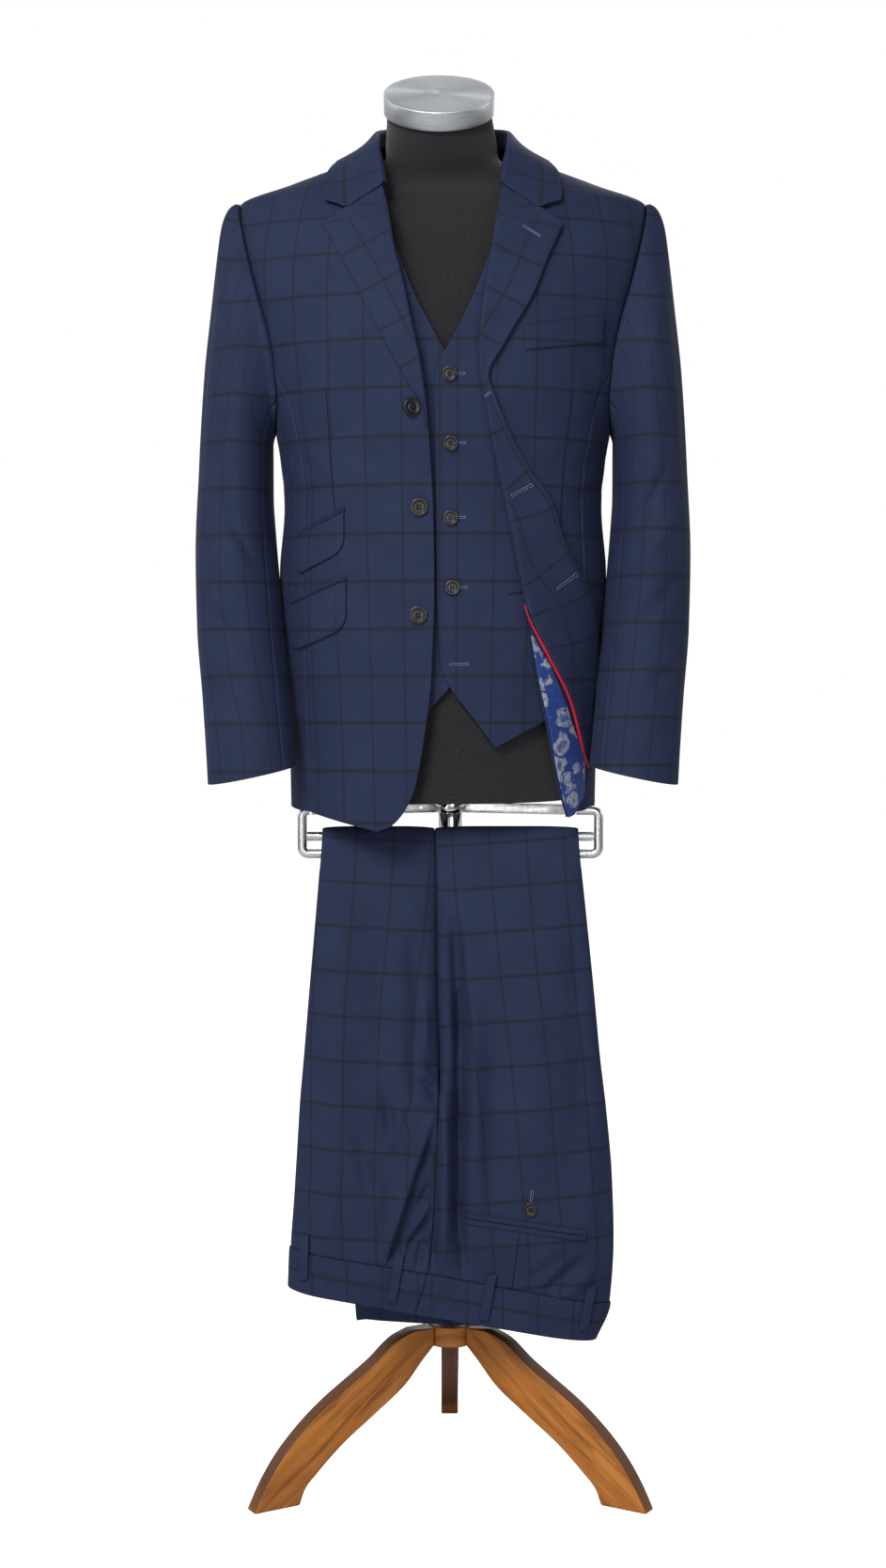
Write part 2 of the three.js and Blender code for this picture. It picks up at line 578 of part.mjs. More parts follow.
/** The place on the back of the seat that has this x and z, moved out towards the viewer. */
function seatPoint(x, z, out) {
  const side = x > frontStation(100).middleX ? 1 : -1;
  const shareAt = (at) => {
    const row = frontStation(at);
    const edge = side > 0 ? row.rightX : row.leftX;
    return (edge - x) / (edge - row.middleX);
  };
  let [low, high] = [0, 285];
  for (let turn = 0; turn < 30; turn += 1) {
    const half = (low + high) / 2;
    if (frontLegPoint(half, side, 1, shareAt(half), 0).z < z) low = half;
    else high = half;
  }
  const point = frontLegPoint(low, side, 1, shareAt(low), 0);
  return new THREE.Vector3(x, point.y - out, z);
}
const beltLoops = table(
  ['topX', 'topZ', 'bottomX', 'bottomZ'],
  [-150, 302, -151.5, 252],
  [-47, 281, -56, 228],
  [53, 260, 44, 209],
  [161, 246, 152, 196],
);
const loopHalfWidth = 5.2;
const beltLoop = ({ topX, topZ, bottomX, bottomZ }) => bodyWall((depth) => steps(3).map((t) => {
  const [x, z] = [mix(bottomX, topX, t), mix(bottomZ, topZ, t)];
  return [-loopHalfWidth, loopHalfWidth].map((step) => seatPoint(x + step, z + step * 0.12, 4.6 - depth));
}), 1.8);
const backPocketJet = (rise) => bodyWall((depth) => [0, 5.6].map((height) => steps(5).map((u) => {
  const [x, z] = [mix(24, 155, u), mix(316, 296, u) + rise + height];
  return seatPoint(x, z, 2.4 - depth);
})), 1.6);

// ---------------------------------------------------------------- buttons
/** A button with a raised rim, its back at the origin and its face towards -Y. */
function button(radius) {
  const profile = [[0, 0], [radius * 0.86, 0], [radius, 1.4], [radius * 0.94, 3.2], [radius * 0.72, 3.4], [radius * 0.6, 2.3], [0, 2.3]];
  return new THREE.LatheGeometry(profile.map(([r, y]) => new THREE.Vector2(r, y)), 14);
}
function sewOn(mesh, place, ahead) {
  mesh.quaternion.setFromUnitVectors(new THREE.Vector3(0, 1, 0), ahead.clone().normalize());
  mesh.position.copy(place);
}
function bodyButton(name, radius, x, z, out) {
  const angle = angleAt(x, z);
  const place = bodyPoint(angle, z, out);
  sewOn(add(name, button(radius), 'button'), place, place.clone().sub(bodyPoint(angle, z, out - 10)));
}

// ---------------------------------------------------------------- dress form and stand
// The torso's levels and how far its face lies inside the jacket's; its shoulders are narrow.
const formLevels = table(
  ['z', 'out'],
  [768, -19], [810, -19], [870, -19], [940, -19], [1010, -19], [1084, -19], [1165, -19],
  [1230, -21], [1300, -26], [1350, -29], [1385, -29], [1408, -27], [1430, -23], [1450, -19],
);
const formBottom = formLevels[0].z;
const capTilt = radians(29);
const capAxis = new THREE.Vector3(0, -Math.sin(capTilt), Math.cos(capTilt));
const capTop = new THREE.Vector3(-4, -20, 1525);
const capRadius = 59.5;
const capThickness = 22;
/** The torso and the neck in one: rings of the body surface, then ellipses up to the tilted cap. */
function dressForm() {
  const sides = 32;
  const turns = Array.from({ length: sides }, (_, i) => (i * 360) / sides);
  const neckEnd = capTop.clone().addScaledVector(capAxis, -capThickness - 0.4);
  const slant = new THREE.Vector3(0, Math.cos(capTilt), Math.sin(capTilt));
  const ellipse = (rx, ry, y, z) => (turn) =>
    new THREE.Vector3(rx * Math.sin(radians(turn)), y - ry * Math.cos(radians(turn)), z);
  const tilted = (turn) => new THREE.Vector3(neckEnd.x, neckEnd.y, neckEnd.z)
    .addScaledVector(new THREE.Vector3(1, 0, 0), 56 * Math.sin(radians(turn)))
    .addScaledVector(slant, -56 * Math.cos(radians(turn)));
  const between = (low, high, t) => (turn) => low(turn).lerp(high(turn), t);
  const collarBase = ellipse(63, 58, 12, 1449);
  const rings = [
    ...formLevels.map(({ z, out }) => (turn) => bodyPoint(turn > 180 ? turn - 360 : turn, z, out)),
    collarBase,
    between(collarBase, tilted, 0.4),
    between(collarBase, tilted, 0.75),
    tilted,
  ];
  const points = [...rings.flatMap((ring) => turns.map(ring)), new THREE.Vector3(0, 0, formBottom), neckEnd];
  const faces = [];
  const [bottom, top] = [points.length - 2, points.length - 1];
  turns.forEach((_, i) => {
    const next = (i + 1) % sides;
    for (let r = 0; r < rings.length - 1; r += 1) {
      const [a, b] = [r * sides + i, r * sides + next];
      faces.push(a, b, b + sides, a, b + sides, a + sides);
    }
    const last = (rings.length - 1) * sides;
    faces.push(bottom, next, i, top, last + i, last + next);
  });
  const geometry = new THREE.BufferGeometry();
  geometry.setAttribute('position', new THREE.Float32BufferAttribute(points.flatMap((p) => p.toArray()), 3));
  geometry.setIndex(faces);
  return geometry;
}
function neckCap() {
  const profile = [[0, 0], [capRadius - 1, 0], [capRadius, 1], [capRadius, capThickness - 1.5],
    [capRadius - 1.5, capThickness], [0, capThickness]];
  return new THREE.LatheGeometry(profile.map(([r, y]) => new THREE.Vector2(r, y)), 32);
}
const hubBottom = 150;
const hubTop = 174;
const hubRadius = 25.5;
const legThickness = 20;
/** The curved wooden leg, cut from a board: its outline from the hub out to the floor. */
function tripodLeg() {
  const outline = new THREE.Shape();
  outline.moveTo(hubRadius + 0.6, hubTop - 1);
  outline.lineTo(52, hubTop - 1);
  outline.splineThru([[72, 166], [100, 145], [130, 126], [160, 107], [190, 83], [216, 56], [236, 27], [250, 0]]
    .map(([x, y]) => new THREE.Vector2(x, y)));
  outline.lineTo(195, 0);
  outline.splineThru([[188, 17], [172, 33], [143, 58], [100, 87], [62, 114], [40, 138], [hubRadius + 0.6, hubBottom + 2]]
    .map(([x, y]) => new THREE.Vector2(x, y)));
  const geometry = new THREE.ExtrudeGeometry(outline, { depth: legThickness, bevelEnabled: false, curveSegments: 4 });
  geometry.translate(0, 0, -legThickness / 2);
  geometry.rotateX(Math.PI / 2);
  return geometry;
}
const barHeight = 11;
const barBottom = 751;
/** A flat steel arm from the post's clamp forward to the end of the rail, with screw holes along it. */
function crossArm(side) {
  const [fromX, fromY] = [postX + side * 16, -17];
  const [toX, toY] = [side * (armEndX - 2), railY + railRadius + 2];
  const length = Math.hypot(toX - fromX, toY - fromY);
  const face = new THREE.Shape([[0, 0], [length, 0], [length, barHeight], [0, barHeight]]
    .map(([x, y]) => new THREE.Vector2(x, y)));
  for (const share of [0.12, 0.38, 0.72]) {
    face.holes.push(new THREE.Path().absarc(length * share, barHeight / 2, 1.6, 0, 2 * Math.PI, true));
  }
  const geometry = new THREE.ExtrudeGeometry(face, { depth: 2.5, bevelEnabled: false, curveSegments: 6 });
  geometry.rotateX(Math.PI / 2);
  geometry.rotateZ(Math.atan2(toY - fromY, toX - fromX));
  geometry.translate(fromX, fromY, barBottom);
  return geometry;
}
class Polyline3 extends THREE.CurvePath {
  constructor(curves) {
    super();
    curves.forEach((curve) => this.add(curve));
  }
}
function roundBar(path, radius, stepsAlong) {
  const section = new THREE.Shape(Array.from({ length: 10 }, (_, i) => {
    const turn = (i / 10) * 2 * Math.PI;
    return new THREE.Vector2(radius * Math.cos(turn), radius * Math.sin(turn));
  }));
  return new THREE.ExtrudeGeometry(section, { extrudePath: path, steps: stepsAlong, bevelEnabled: false });
}
const bendRadius = 8;
const armEndX = 145;            // where the arms end, inside the jacket's skirt
/** The rail's end: a tube from the arm out under the hem and down, that turns under to the lower rail. */
function railEnd(side) {
  const x = side < 0 ? railLeftX : railRightX;
  const at = (px, z) => new THREE.Vector3(px, railY, z);
  const inward = -side * bendRadius;
  return roundBar(new Polyline3([
    new THREE.LineCurve3(at(side * armEndX, barBottom + barHeight / 2), at(x, railUpperZ + 9)),
    new THREE.LineCurve3(at(x, railUpperZ + 9), at(x, railLowerZ + bendRadius)),
    new THREE.QuadraticBezierCurve3(at(x, railLowerZ + bendRadius), at(x, railLowerZ), at(x + inward, railLowerZ)),
    new THREE.LineCurve3(at(x + inward, railLowerZ), at(x + inward * 1.6, railLowerZ)),
  ]), railRadius, 14);
}
const rail = (fromX, toX, z) => roundBar(new THREE.LineCurve3(
  new THREE.Vector3(fromX, railY, z), new THREE.Vector3(toX, railY, z)), railRadius, 1);
/** The clamp round the post that carries both arms. */
function postClamp() {
  const ring = new THREE.Shape().absarc(0, 0, postRadius + 4, 0, 2 * Math.PI);
  ring.holes.push(new THREE.Path().absarc(0, 0, postRadius + 0.4, 0, 2 * Math.PI, true));
  const geometry = new THREE.ExtrudeGeometry(ring, { depth: barHeight + 2, bevelEnabled: false, curveSegments: 16 });
  geometry.translate(postX, 0, barBottom - 1);
  return geometry;
}

// ---------------------------------------------------------------- assembly
const suit = new THREE.Group();
suit.position.y = centreShift;
const finishes = {
  cloth: new THREE.MeshStandardMaterial({ color: 0x2b3352, roughness: 0.85, metalness: 0 }),
  lining: new THREE.MeshStandardMaterial({ color: 0x3a5291, roughness: 0.45, metalness: 0 }),
  piping: new THREE.MeshStandardMaterial({ color: 0xb32638, roughness: 0.5, metalness: 0 }),
  button: new THREE.MeshStandardMaterial({ color: 0x1c1c1f, roughness: 0.35, metalness: 0 }),
  form: new THREE.MeshStandardMaterial({ color: 0x141416, roughness: 0.9, metalness: 0 }),
  brushed: new THREE.MeshStandardMaterial({ color: 0xc4c7ca, roughness: 0.35, metalness: 1 }),
  chrome: new THREE.MeshStandardMaterial({ color: 0xd8dadc, roughness: 0.12, metalness: 1 }),
  wood: new THREE.MeshStandardMaterial({ color: 0xb07a3c, roughness: 0.45, metalness: 0 }),
};
function add(name, geometry, finish) {
  const mesh = new THREE.Mesh(geometry, finishes[finish]);
  mesh.name = name;
  suit.add(mesh);
  return mesh;
}

add('jacket_front_right', jacketFrontRight(), 'cloth');
add('jacket_front_left', jacketFrontLeft(), 'cloth');
add('jacket_collar', clothWall(collarGrid()), 'cloth');
add('lapel_right', rightLapel(), 'cloth');
add('lapel_facing_left', leftLapelAndFacing(), 'cloth');
add('facing_lining_left', leftLining(), 'lining');
add('facing_piping_left', leftPiping(), 'piping');
add('breast_welt', breastWelt(), 'cloth');
add('ticket_flap', pocketFlap({ fromX: -157, fromZ: 1050, toX: -104, toZ: 1078, drop: 40, radius: 12 }), 'cloth');
add('ticket_jet', pocketJet(-157, 1051, -103, 1079.5, 5), 'cloth');
add('hip_flap_right', pocketFlap({ fromX: -163, fromZ: 978, toX: -102, toZ: 1006, drop: 50, radius: 14 }), 'cloth');
add('hip_jet_right', pocketJet(-163, 979, -101, 1007.5, 5), 'cloth');
add('waistcoat_front_right', waistcoatFrontRight(), 'cloth');
add('waistcoat_front_left', waistcoatFrontLeft(), 'cloth');
add('waistcoat_welt_left', waistcoatWelt(), 'cloth');
for (const [side, name] of [[-1, 'right'], [1, 'left']]) {
  add(`jacket_side_${name}`, jacketSide(side), 'cloth');
  add(`jacket_back_${name}`, jacketBack(side), 'cloth');
  add(`sleeve_top_${name}`, sleeveTop(side), 'cloth');
  add(`sleeve_under_${name}`, sleeveUnder(side), 'cloth');
  add(`waistcoat_back_${name}`, waistcoatBack(side), 'cloth');
  add(`trousers_back_${name}`, trouserPanel(side, 1), 'cloth');
  add(`trousers_front_${name}`, trouserPanel(side, -1), 'cloth');
  add(`waistband_${name}`, waistbandHalf(side), 'cloth');
}
beltLoops.forEach((loop, i) => add(`belt_loop_${i + 1}`, beltLoop(loop), 'cloth'));
add('back_pocket_jet_upper', backPocketJet(6.4), 'cloth');
add('back_pocket_jet_lower', backPocketJet(0), 'cloth');

table(['x', 'z'], [-32, 1187], [-25, 1083], [-26, 970])
  .forEach(({ x, z }, i) => bodyButton(`jacket_button_${i + 1}`, jacketButtonRadius, x, z, 1.2));
table(['x', 'z'], [7, 1221], [8, 1149], [8, 1072], [10, 999])
  .forEach(({ x, z }, i) => bodyButton(`waistcoat_button_${i + 1}`, waistcoatButtonRadius, x, z, waistcoatOut + 1.4));
sewOn(add('back_pocket_button', button(7.5), 'button'), seatPoint(94, 331, 0.8), new THREE.Vector3(0, -1, 0));

add('dress_form', dressForm(), 'form');
const cap = add('neck_cap', neckCap(), 'brushed');
sewOn(cap, capTop.clone().addScaledVector(capAxis, -capThickness), capAxis);
const post = add('post', new THREE.CylinderGeometry(postRadius, postRadius, formBottom - hubTop - 1.2, 32), 'chrome');
post.rotation.x = Math.PI / 2;
post.position.set(postX, 0, (formBottom + hubTop) / 2);
const hub = add('tripod_hub', new THREE.CylinderGeometry(hubRadius, hubRadius, hubTop - hubBottom, 40), 'wood');
hub.rotation.x = Math.PI / 2;
hub.position.set(postX, 0, (hubTop + hubBottom) / 2);
for (const [name, turn] of [['right', 210], ['left', 330], ['rear', 90]]) {
  const leg = add(`tripod_leg_${name}`, tripodLeg(), 'wood');
  leg.rotation.z = radians(turn);
  leg.position.x = postX;
}
add('post_clamp', postClamp(), 'chrome');
add('cross_arm_right', crossArm(-1), 'brushed');
add('cross_arm_left', crossArm(1), 'brushed');
add('rail_end_right', railEnd(-1), 'chrome');
add('rail_end_left', railEnd(1), 'chrome');
add('rail_upper', rail(railLeftX + railRadius + 0.4, railRightX - railRadius - 0.4, railUpperZ), 'chrome');
const lowerStop = bendRadius * 1.6 + 0.4;
add('rail_lower', rail(railLeftX + lowerStop, railRightX - lowerStop, railLowerZ), 'chrome');

export default suit;
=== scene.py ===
"""A three-piece suit in navy windowpane cloth, on a limbless dress form with a tripod stand.

Sizes are in millimetres about the stand's axis, as a tailor would note them, and become metres in
the frame only when a mesh is made. The wearer's right side is at -X, and the suit faces -Y.
"""
import math
from types import SimpleNamespace

import bmesh
import bpy
import numpy as np
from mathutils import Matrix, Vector


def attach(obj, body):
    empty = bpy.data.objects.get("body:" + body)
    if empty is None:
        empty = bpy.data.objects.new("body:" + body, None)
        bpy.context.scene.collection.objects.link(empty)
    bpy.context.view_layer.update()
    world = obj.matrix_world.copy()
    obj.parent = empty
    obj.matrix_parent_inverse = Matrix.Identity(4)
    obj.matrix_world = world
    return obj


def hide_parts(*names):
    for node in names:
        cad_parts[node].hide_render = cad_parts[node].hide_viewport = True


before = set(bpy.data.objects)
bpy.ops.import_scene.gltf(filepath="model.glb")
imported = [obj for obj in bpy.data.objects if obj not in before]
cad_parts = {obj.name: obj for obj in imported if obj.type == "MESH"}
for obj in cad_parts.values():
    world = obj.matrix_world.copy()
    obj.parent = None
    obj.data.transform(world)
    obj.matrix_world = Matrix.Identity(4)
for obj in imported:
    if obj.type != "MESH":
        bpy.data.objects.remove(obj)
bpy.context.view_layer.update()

# ------------------------------------------------------------------ camera
CAMERA_PLACE = (0.0, -2.91595, 1.0431)
CAMERA_PITCH = 84.752
bpy.ops.object.camera_add(location=CAMERA_PLACE, rotation=(math.radians(CAMERA_PITCH), 0, 0))
camera = bpy.context.object
camera.name = "camera"
camera.data.lens = 59.69
camera.data.sensor_width = 36
camera.data.sensor_fit = "AUTO"
bpy.context.scene.camera = camera

# ------------------------------------------------------------------ sizes
CENTRE_SHIFT = -58.15       # the frame's middle lies this far in front of the stand's axis
CLOTH = 2.0                 # thickness of a cloth wall
SEAM_GAP = 0.12             # half the gap left at a seam
INNER_ROOM = 0.15           # the least that is left between a wall's two faces
LAID_ROOM = 0.2             # and between those of a piece laid on another
WAISTCOAT_OUT = -8.0        # the waistcoat's face, measured from the jacket's
UNDERLAP_OUT = -11.6        # its under front, where the other front laps it
POST_X = 8.0
RAIL_Y = -50.0
RAIL_RADIUS = 5.0
RAIL_UPPER_Z = 728.0
RAIL_LOWER_Z = 709.0
RAIL_ENDS = (-153.0, 169.0)
CHECK_ACROSS = 39.0         # the windowpane's repeat
CHECK_UP = 50.3


def metres(points):
    """Points in millimetres about the stand, as metres in the frame."""
    return (np.asarray(points, float) + [0, CENTRE_SHIFT, 0]) / 1000


def walked(points, axis=0):
    """How far each point lies along its line of points, from the first."""
    steps = np.linalg.norm(np.diff(points, axis=axis), axis=-1)
    along = np.cumsum(steps, axis=axis)
    return np.concatenate([np.zeros_like(along.take([0], axis)), along], axis)


# ------------------------------------------------------------------ smooth lines
def line_through(*rows):
    """A smooth line through a table's rows that never overshoots them, read by its first column."""
    rows = np.array(rows, float)
    at, values = rows[:, 0], rows[:, 1:]
    steps = np.diff(values, axis=0) / np.diff(at)[:, None]
    slopes = np.empty_like(values)
    slopes[0], slopes[-1] = steps[0], steps[-1]
    before, after = steps[:-1], steps[1:]
    same_way = before * after > 0
    total = np.where(same_way, before + after, 1)
    slopes[1:-1] = np.where(same_way, 2 * before * after / total, 0)

    def read(t):
        place = np.clip(np.asarray(t, float), at[0], at[-1])
        i = np.clip(np.searchsorted(at, place) - 1, 0, len(at) - 2)
        span = (at[i + 1] - at[i])[..., None]
        u = (place - at[i])[..., None] / span
        found = (values[i] * (1 + 2 * u) * (1 - u) ** 2 + slopes[i] * span * u * (1 - u) ** 2
                 + values[i + 1] * u * u * (3 - 2 * u) - slopes[i + 1] * span * u * u * (1 - u))
        return np.moveaxis(found, -1, 0)

    return read


def mix(a, b, t):
    return a + (b - a) * t


def ease(t):
    u = np.clip(t, 0, 1)
    return u * u * (3 - 2 * u)


# ------------------------------------------------------------------ the body surface
body_section = line_through(  # z, side, front, back, power
    (730, 167, 121, 121, 2.3), (800, 168, 123, 124, 2.3), (900, 172, 121, 118, 2.3),
    (1010, 178.5, 118, 103, 2.3), (1084, 173, 117, 98, 2.3), (1165, 182, 122, 106, 2.3),
    (1230, 198, 127, 117, 2.3), (1300, 213, 125, 123, 2.3), (1350, 221, 115, 122, 2.25),
    (1385, 223, 101, 115, 2.15), (1408, 219, 85, 104, 2.05), (1430, 164, 66, 92, 2),
    (1452, 106, 44, 81, 2), (1466, 76, 28, 72, 2), (1480, 62, 20, 62, 2))


def skin(angle, z):
    """The jacket's face: angle 0 is the front, 90 the wearer's left, 180 the back."""
    angle, z = np.broadcast_arrays(np.asarray(angle, float), np.asarray(z, float))
    side, front, back, power = body_section(z)
    across, along = np.sin(np.radians(angle)), np.cos(np.radians(angle))
    depth = np.where(along > 0, front, back)
    reach = ((np.abs(across) / side) ** power + (np.abs(along) / depth) ** power) ** (-1 / power)
    return np.stack([reach * across, -reach * along, z], -1)


def unit(vectors):
    return vectors / np.maximum(np.linalg.norm(vectors, axis=-1, keepdims=True), 1e-9)


def body_normal(angle, z):
    across = skin(angle + 0.5, z) - skin(angle - 0.5, z)
    up = skin(angle, np.asarray(z) + 1) - skin(angle, np.asarray(z) - 1)
    return unit(np.cross(across, up))


def body_point(angle, z, out):
    return skin(angle, z) + body_normal(angle, z) * np.asarray(out, float)[..., None]


def angle_at(x, z):
    """The angle at which the front of the body has this x."""
    side, front, _, power = body_section(z)
    share = np.minimum(np.abs(x) / side, 1)
    depth = front * (1 - share ** power) ** (1 / power)
    return np.sign(x) * np.degrees(np.arctan2(np.abs(x), depth))


ARC_HEIGHTS = np.arange(730, 1481, 5.0)
ARC_ANGLES = np.arange(0, 181, 1.0)
ARC_TABLE = walked(skin(ARC_ANGLES[None, :], ARC_HEIGHTS[:, None]), axis=1)


def girth_to(angle, z):
    """How far round the body a point is from the centre front, at its own height."""
    turn = np.abs((np.asarray(angle) + 180) % 360 - 180)
    i = np.clip((z - ARC_HEIGHTS[0]) / 5, 0, len(ARC_HEIGHTS) - 1.001)
    j = np.clip(turn, 0, 179.999)
    i0, j0 = i.astype(int), j.astype(int)
    fi, fj = i - i0, j - j0
    low = mix(ARC_TABLE[i0, j0], ARC_TABLE[i0, j0 + 1], fj)
    high = mix(ARC_TABLE[i0 + 1, j0], ARC_TABLE[i0 + 1, j0 + 1], fj)
    return mix(low, high, fi)


check_rise = line_through(  # height and its count of repeats, in front
    (730, -7.35), (800, -6.1), (854, -5.05), (906, -4), (955, -3.02), (1006, -2), (1056, -1),
    (1107, 0), (1157, 1), (1208, 2), (1258, 3), (1305, 4), (1348, 5), (1387, 6), (1424, 7),
    (1455, 8), (1480, 8.8))
check_rise_back = line_through(
    (730, -7.35), (1056, -1), (1107, 0), (1157, 1), (1258, 3), (1305, 4), (1350, 4.93),
    (1400, 6), (1430, 6.7), (1462, 7.5), (1480, 8))
check_spread = line_through(  # height and how much closer than its repeat the check lies
    (730, 1.12), (800, 1.11), (906, 1.07), (1010, 1.03), (1122, 1), (1300, 0.985),
    (1345, 1), (1390, 1.05), (1440, 1.13), (1480, 1.18))
dart_take = line_through(  # height and the cloth that a front's dart takes in
    (880, 0), (930, 2), (980, 5), (1040, 9), (1090, 12), (1150, 6), (1209, 0))
dart_right = line_through((880, 112), (1040, 112), (1101, 115), (1135, 119), (1209, 123))
dart_left = line_through((880, 122), (1082, 125), (1128, 127), (1159, 131), (1206, 137))


RIGHT_PHASE, LEFT_PHASE = 4.1, -14.6        # where the check starts across each front
LEFT_SPREAD = 0.95          # the left front's check lies this much closer
FRONT_BOW = 3.0             # how far its level lines rise from the middle to the side, in front


def body_check(angle, z):
    """The cloth's own coordinates on the jacket's body, in millimetres."""
    turn = (np.asarray(angle, float) + 180) % 360 - 180
    side = np.where(turn < 0, -1, 1)
    spread = check_spread(z)[0]
    across = girth_to(turn, z) * spread * np.where(side > 0, LEFT_SPREAD, 1)
    dart = np.where(side < 0, dart_right(z)[0], dart_left(z)[0])
    beyond = ease((np.abs(turn) - np.abs(angle_at(dart, z))) / 0.8)
    across = across + beyond * dart_take(z)[0]
    across = side * across + np.where(side > 0, LEFT_PHASE, RIGHT_PHASE)
    behind = ease((np.abs(turn) - 80) / 45)
    rise = mix(check_rise(z)[0], check_rise_back(z)[0], behind) * CHECK_UP
    x = girth_to(turn, z)
    return across, rise + FRONT_BOW * np.minimum(x / 150, 1.4) ** 2 * (1 - behind)


# ------------------------------------------------------------------ creases
def crease_field(table, x, z):
    """The sum of soft troughs and ridges: fromX, fromZ, toX, toZ, half width, height."""
    total = np.zeros(np.broadcast(x, z).shape)
    for from_x, from_z, to_x, to_z, width, height in table:
        run = np.array([to_x - from_x, to_z - from_z], float)
        length = np.hypot(*run)
        along = ((x - from_x) * run[0] + (z - from_z) * run[1]) / length ** 2
        nearest = np.clip(along, 0, 1)
        off = np.hypot(x - from_x - nearest * run[0], z - from_z - nearest * run[1])
        fade = 1 - ease(np.abs(along - 0.5) * 2 - 0.35)
        total = total + height * fade * np.exp(-(off / width) ** 2)
    return total


FRONT_CREASES = (
    (-176, 1150, -132, 1118, 9, -1.4), (-172, 1112, -118, 1092, 7, -1.0),
    (-170, 1182, -146, 1240, 12, -1.6), (-178, 1330, -168, 1230, 10, -1.2),
    (-44, 1086, -96, 1104, 9, -0.7), (-40, 974, -88, 992, 10, -0.6),
    (-150, 1380, -110, 1360, 18, -1.0), (-60, 900, -78, 790, 16, 1.1),
    (-128, 900, -132, 790, 14, -1.0), (-96, 1190, -92, 1290, 26, 1.2),
    (176, 1148, 142, 1118, 9, -1.4), (174, 1108, 140, 1090, 7, -1.1),
    (168, 1186, 150, 1246, 11, -1.6), (180, 1340, 170, 1240, 10, -1.2),
    (96, 1200, 100, 1290, 24, 1.1), (140, 1384, 118, 1330, 15, -0.8))
BACK_CREASES = (
    (-150, 1092, -40, 1078, 9, -1.9), (-138, 1062, -58, 1070, 7, -1.3),
    (-168, 1130, -96, 1108, 8, -1.4), (150, 1096, 52, 1080, 9, -1.8),
    (132, 1060, 60, 1066, 7, -1.2), (164, 1138, 92, 1112, 8, -1.5),
    (-176, 1330, -164, 1190, 12, -2.2), (176, 1336, 166, 1196, 12, -2.0),
    (-118, 1340, -104, 1180, 24, 2.0), (116, 1330, 106, 1176, 24, 1.9),
    (0, 1440, 0, 1130, 9, -1.2), (0, 1120, 0, 780, 12, -2.0),
    (-60, 960, -66, 775, 20, 1.8), (64, 950, 70, 775, 20, 1.6),
    (-116, 930, -122, 775, 15, -1.4), (120, 920, 126, 775, 15, -1.3))


def body_creases(angle, z):
    at = skin(angle, z)
    ahead = at[..., 1] < 0
    return 1.5 * np.where(ahead, crease_field(FRONT_CREASES, at[..., 0], z),
                          crease_field(BACK_CREASES, at[..., 0], z))


# ------------------------------------------------------------------ cloth made from grids
FREE_EDGE = (0, 0.12, 0.45, 1.0, 2.6)       # distances from an edge that have a row of points
SEAM_EDGE = (0, 0.6, 1.4, 2.6, 4.2)
PLAIN_EDGE = (0,)
EDGES = {"free": FREE_EDGE, "seam": SEAM_EDGE, "plain": PLAIN_EDGE,
         "roll": (0, 0.3, 0.9, 1.9, 3.4, 5.5)}
SEAM_GROOVE = 1.1           # how deep a seam lies


def places_between(length, first, last, step):
    """Distances along a length, close together at its two edges and even between them."""
    start, end = np.array(EDGES[first]), np.array(EDGES[last])
    room = length - start[-1] - end[-1]
    count = max(int(round(room / step)), 2)
    middle = np.linspace(start[-1], length - end[-1], count + 1)[1:-1]
    return np.concatenate([start, middle, (length - end)[::-1]])


def edge_dip(distance, style, thickness):
    """How far a wall's face goes in near an edge: a free edge is round, and a seam is a groove."""
    if style == "free":
        radius = thickness / 2
        near = np.clip(1 - distance / radius, 0, 1)
        return radius * (1 - np.sqrt(np.maximum(1 - near ** 2, 0)))
    if style == "seam":
        return SEAM_GROOVE * np.clip(1 - distance / SEAM_EDGE[-1], 0, 1) ** 2
    return np.zeros_like(distance)


def grid_lengths(grid):
    rows = np.linalg.norm(np.diff(grid, axis=1), axis=-1).sum(axis=1)
    columns = np.linalg.norm(np.diff(grid, axis=0), axis=-1).sum(axis=0)
    return rows, columns


def grid_area(grid):
    across = grid[:-1, 1:] - grid[:-1, :-1]
    up = grid[1:, :-1] - grid[:-1, :-1]
    return np.linalg.norm(np.cross(across, up), axis=-1).sum()


def new_object(name, points, faces, uv=None):
    """An object from points in metres, smooth where it has the cloth's own coordinates."""
    mesh = bpy.data.meshes.new(name)
    mesh.from_pydata(points.tolist(), [], faces)
    if uv is not None:
        layer = mesh.uv_layers.new(name="cloth")
        corners = np.empty(len(mesh.loops), int)
        mesh.loops.foreach_get("vertex_index", corners)
        layer.data.foreach_set("uv", uv[corners].astype(np.float32).ravel())
        mesh.polygons.foreach_set("use_smooth", np.ones(len(mesh.polygons), bool))
    mesh.update()
    piece = bpy.data.objects.new(name, mesh)
    bpy.context.scene.collection.objects.link(piece)
    return piece


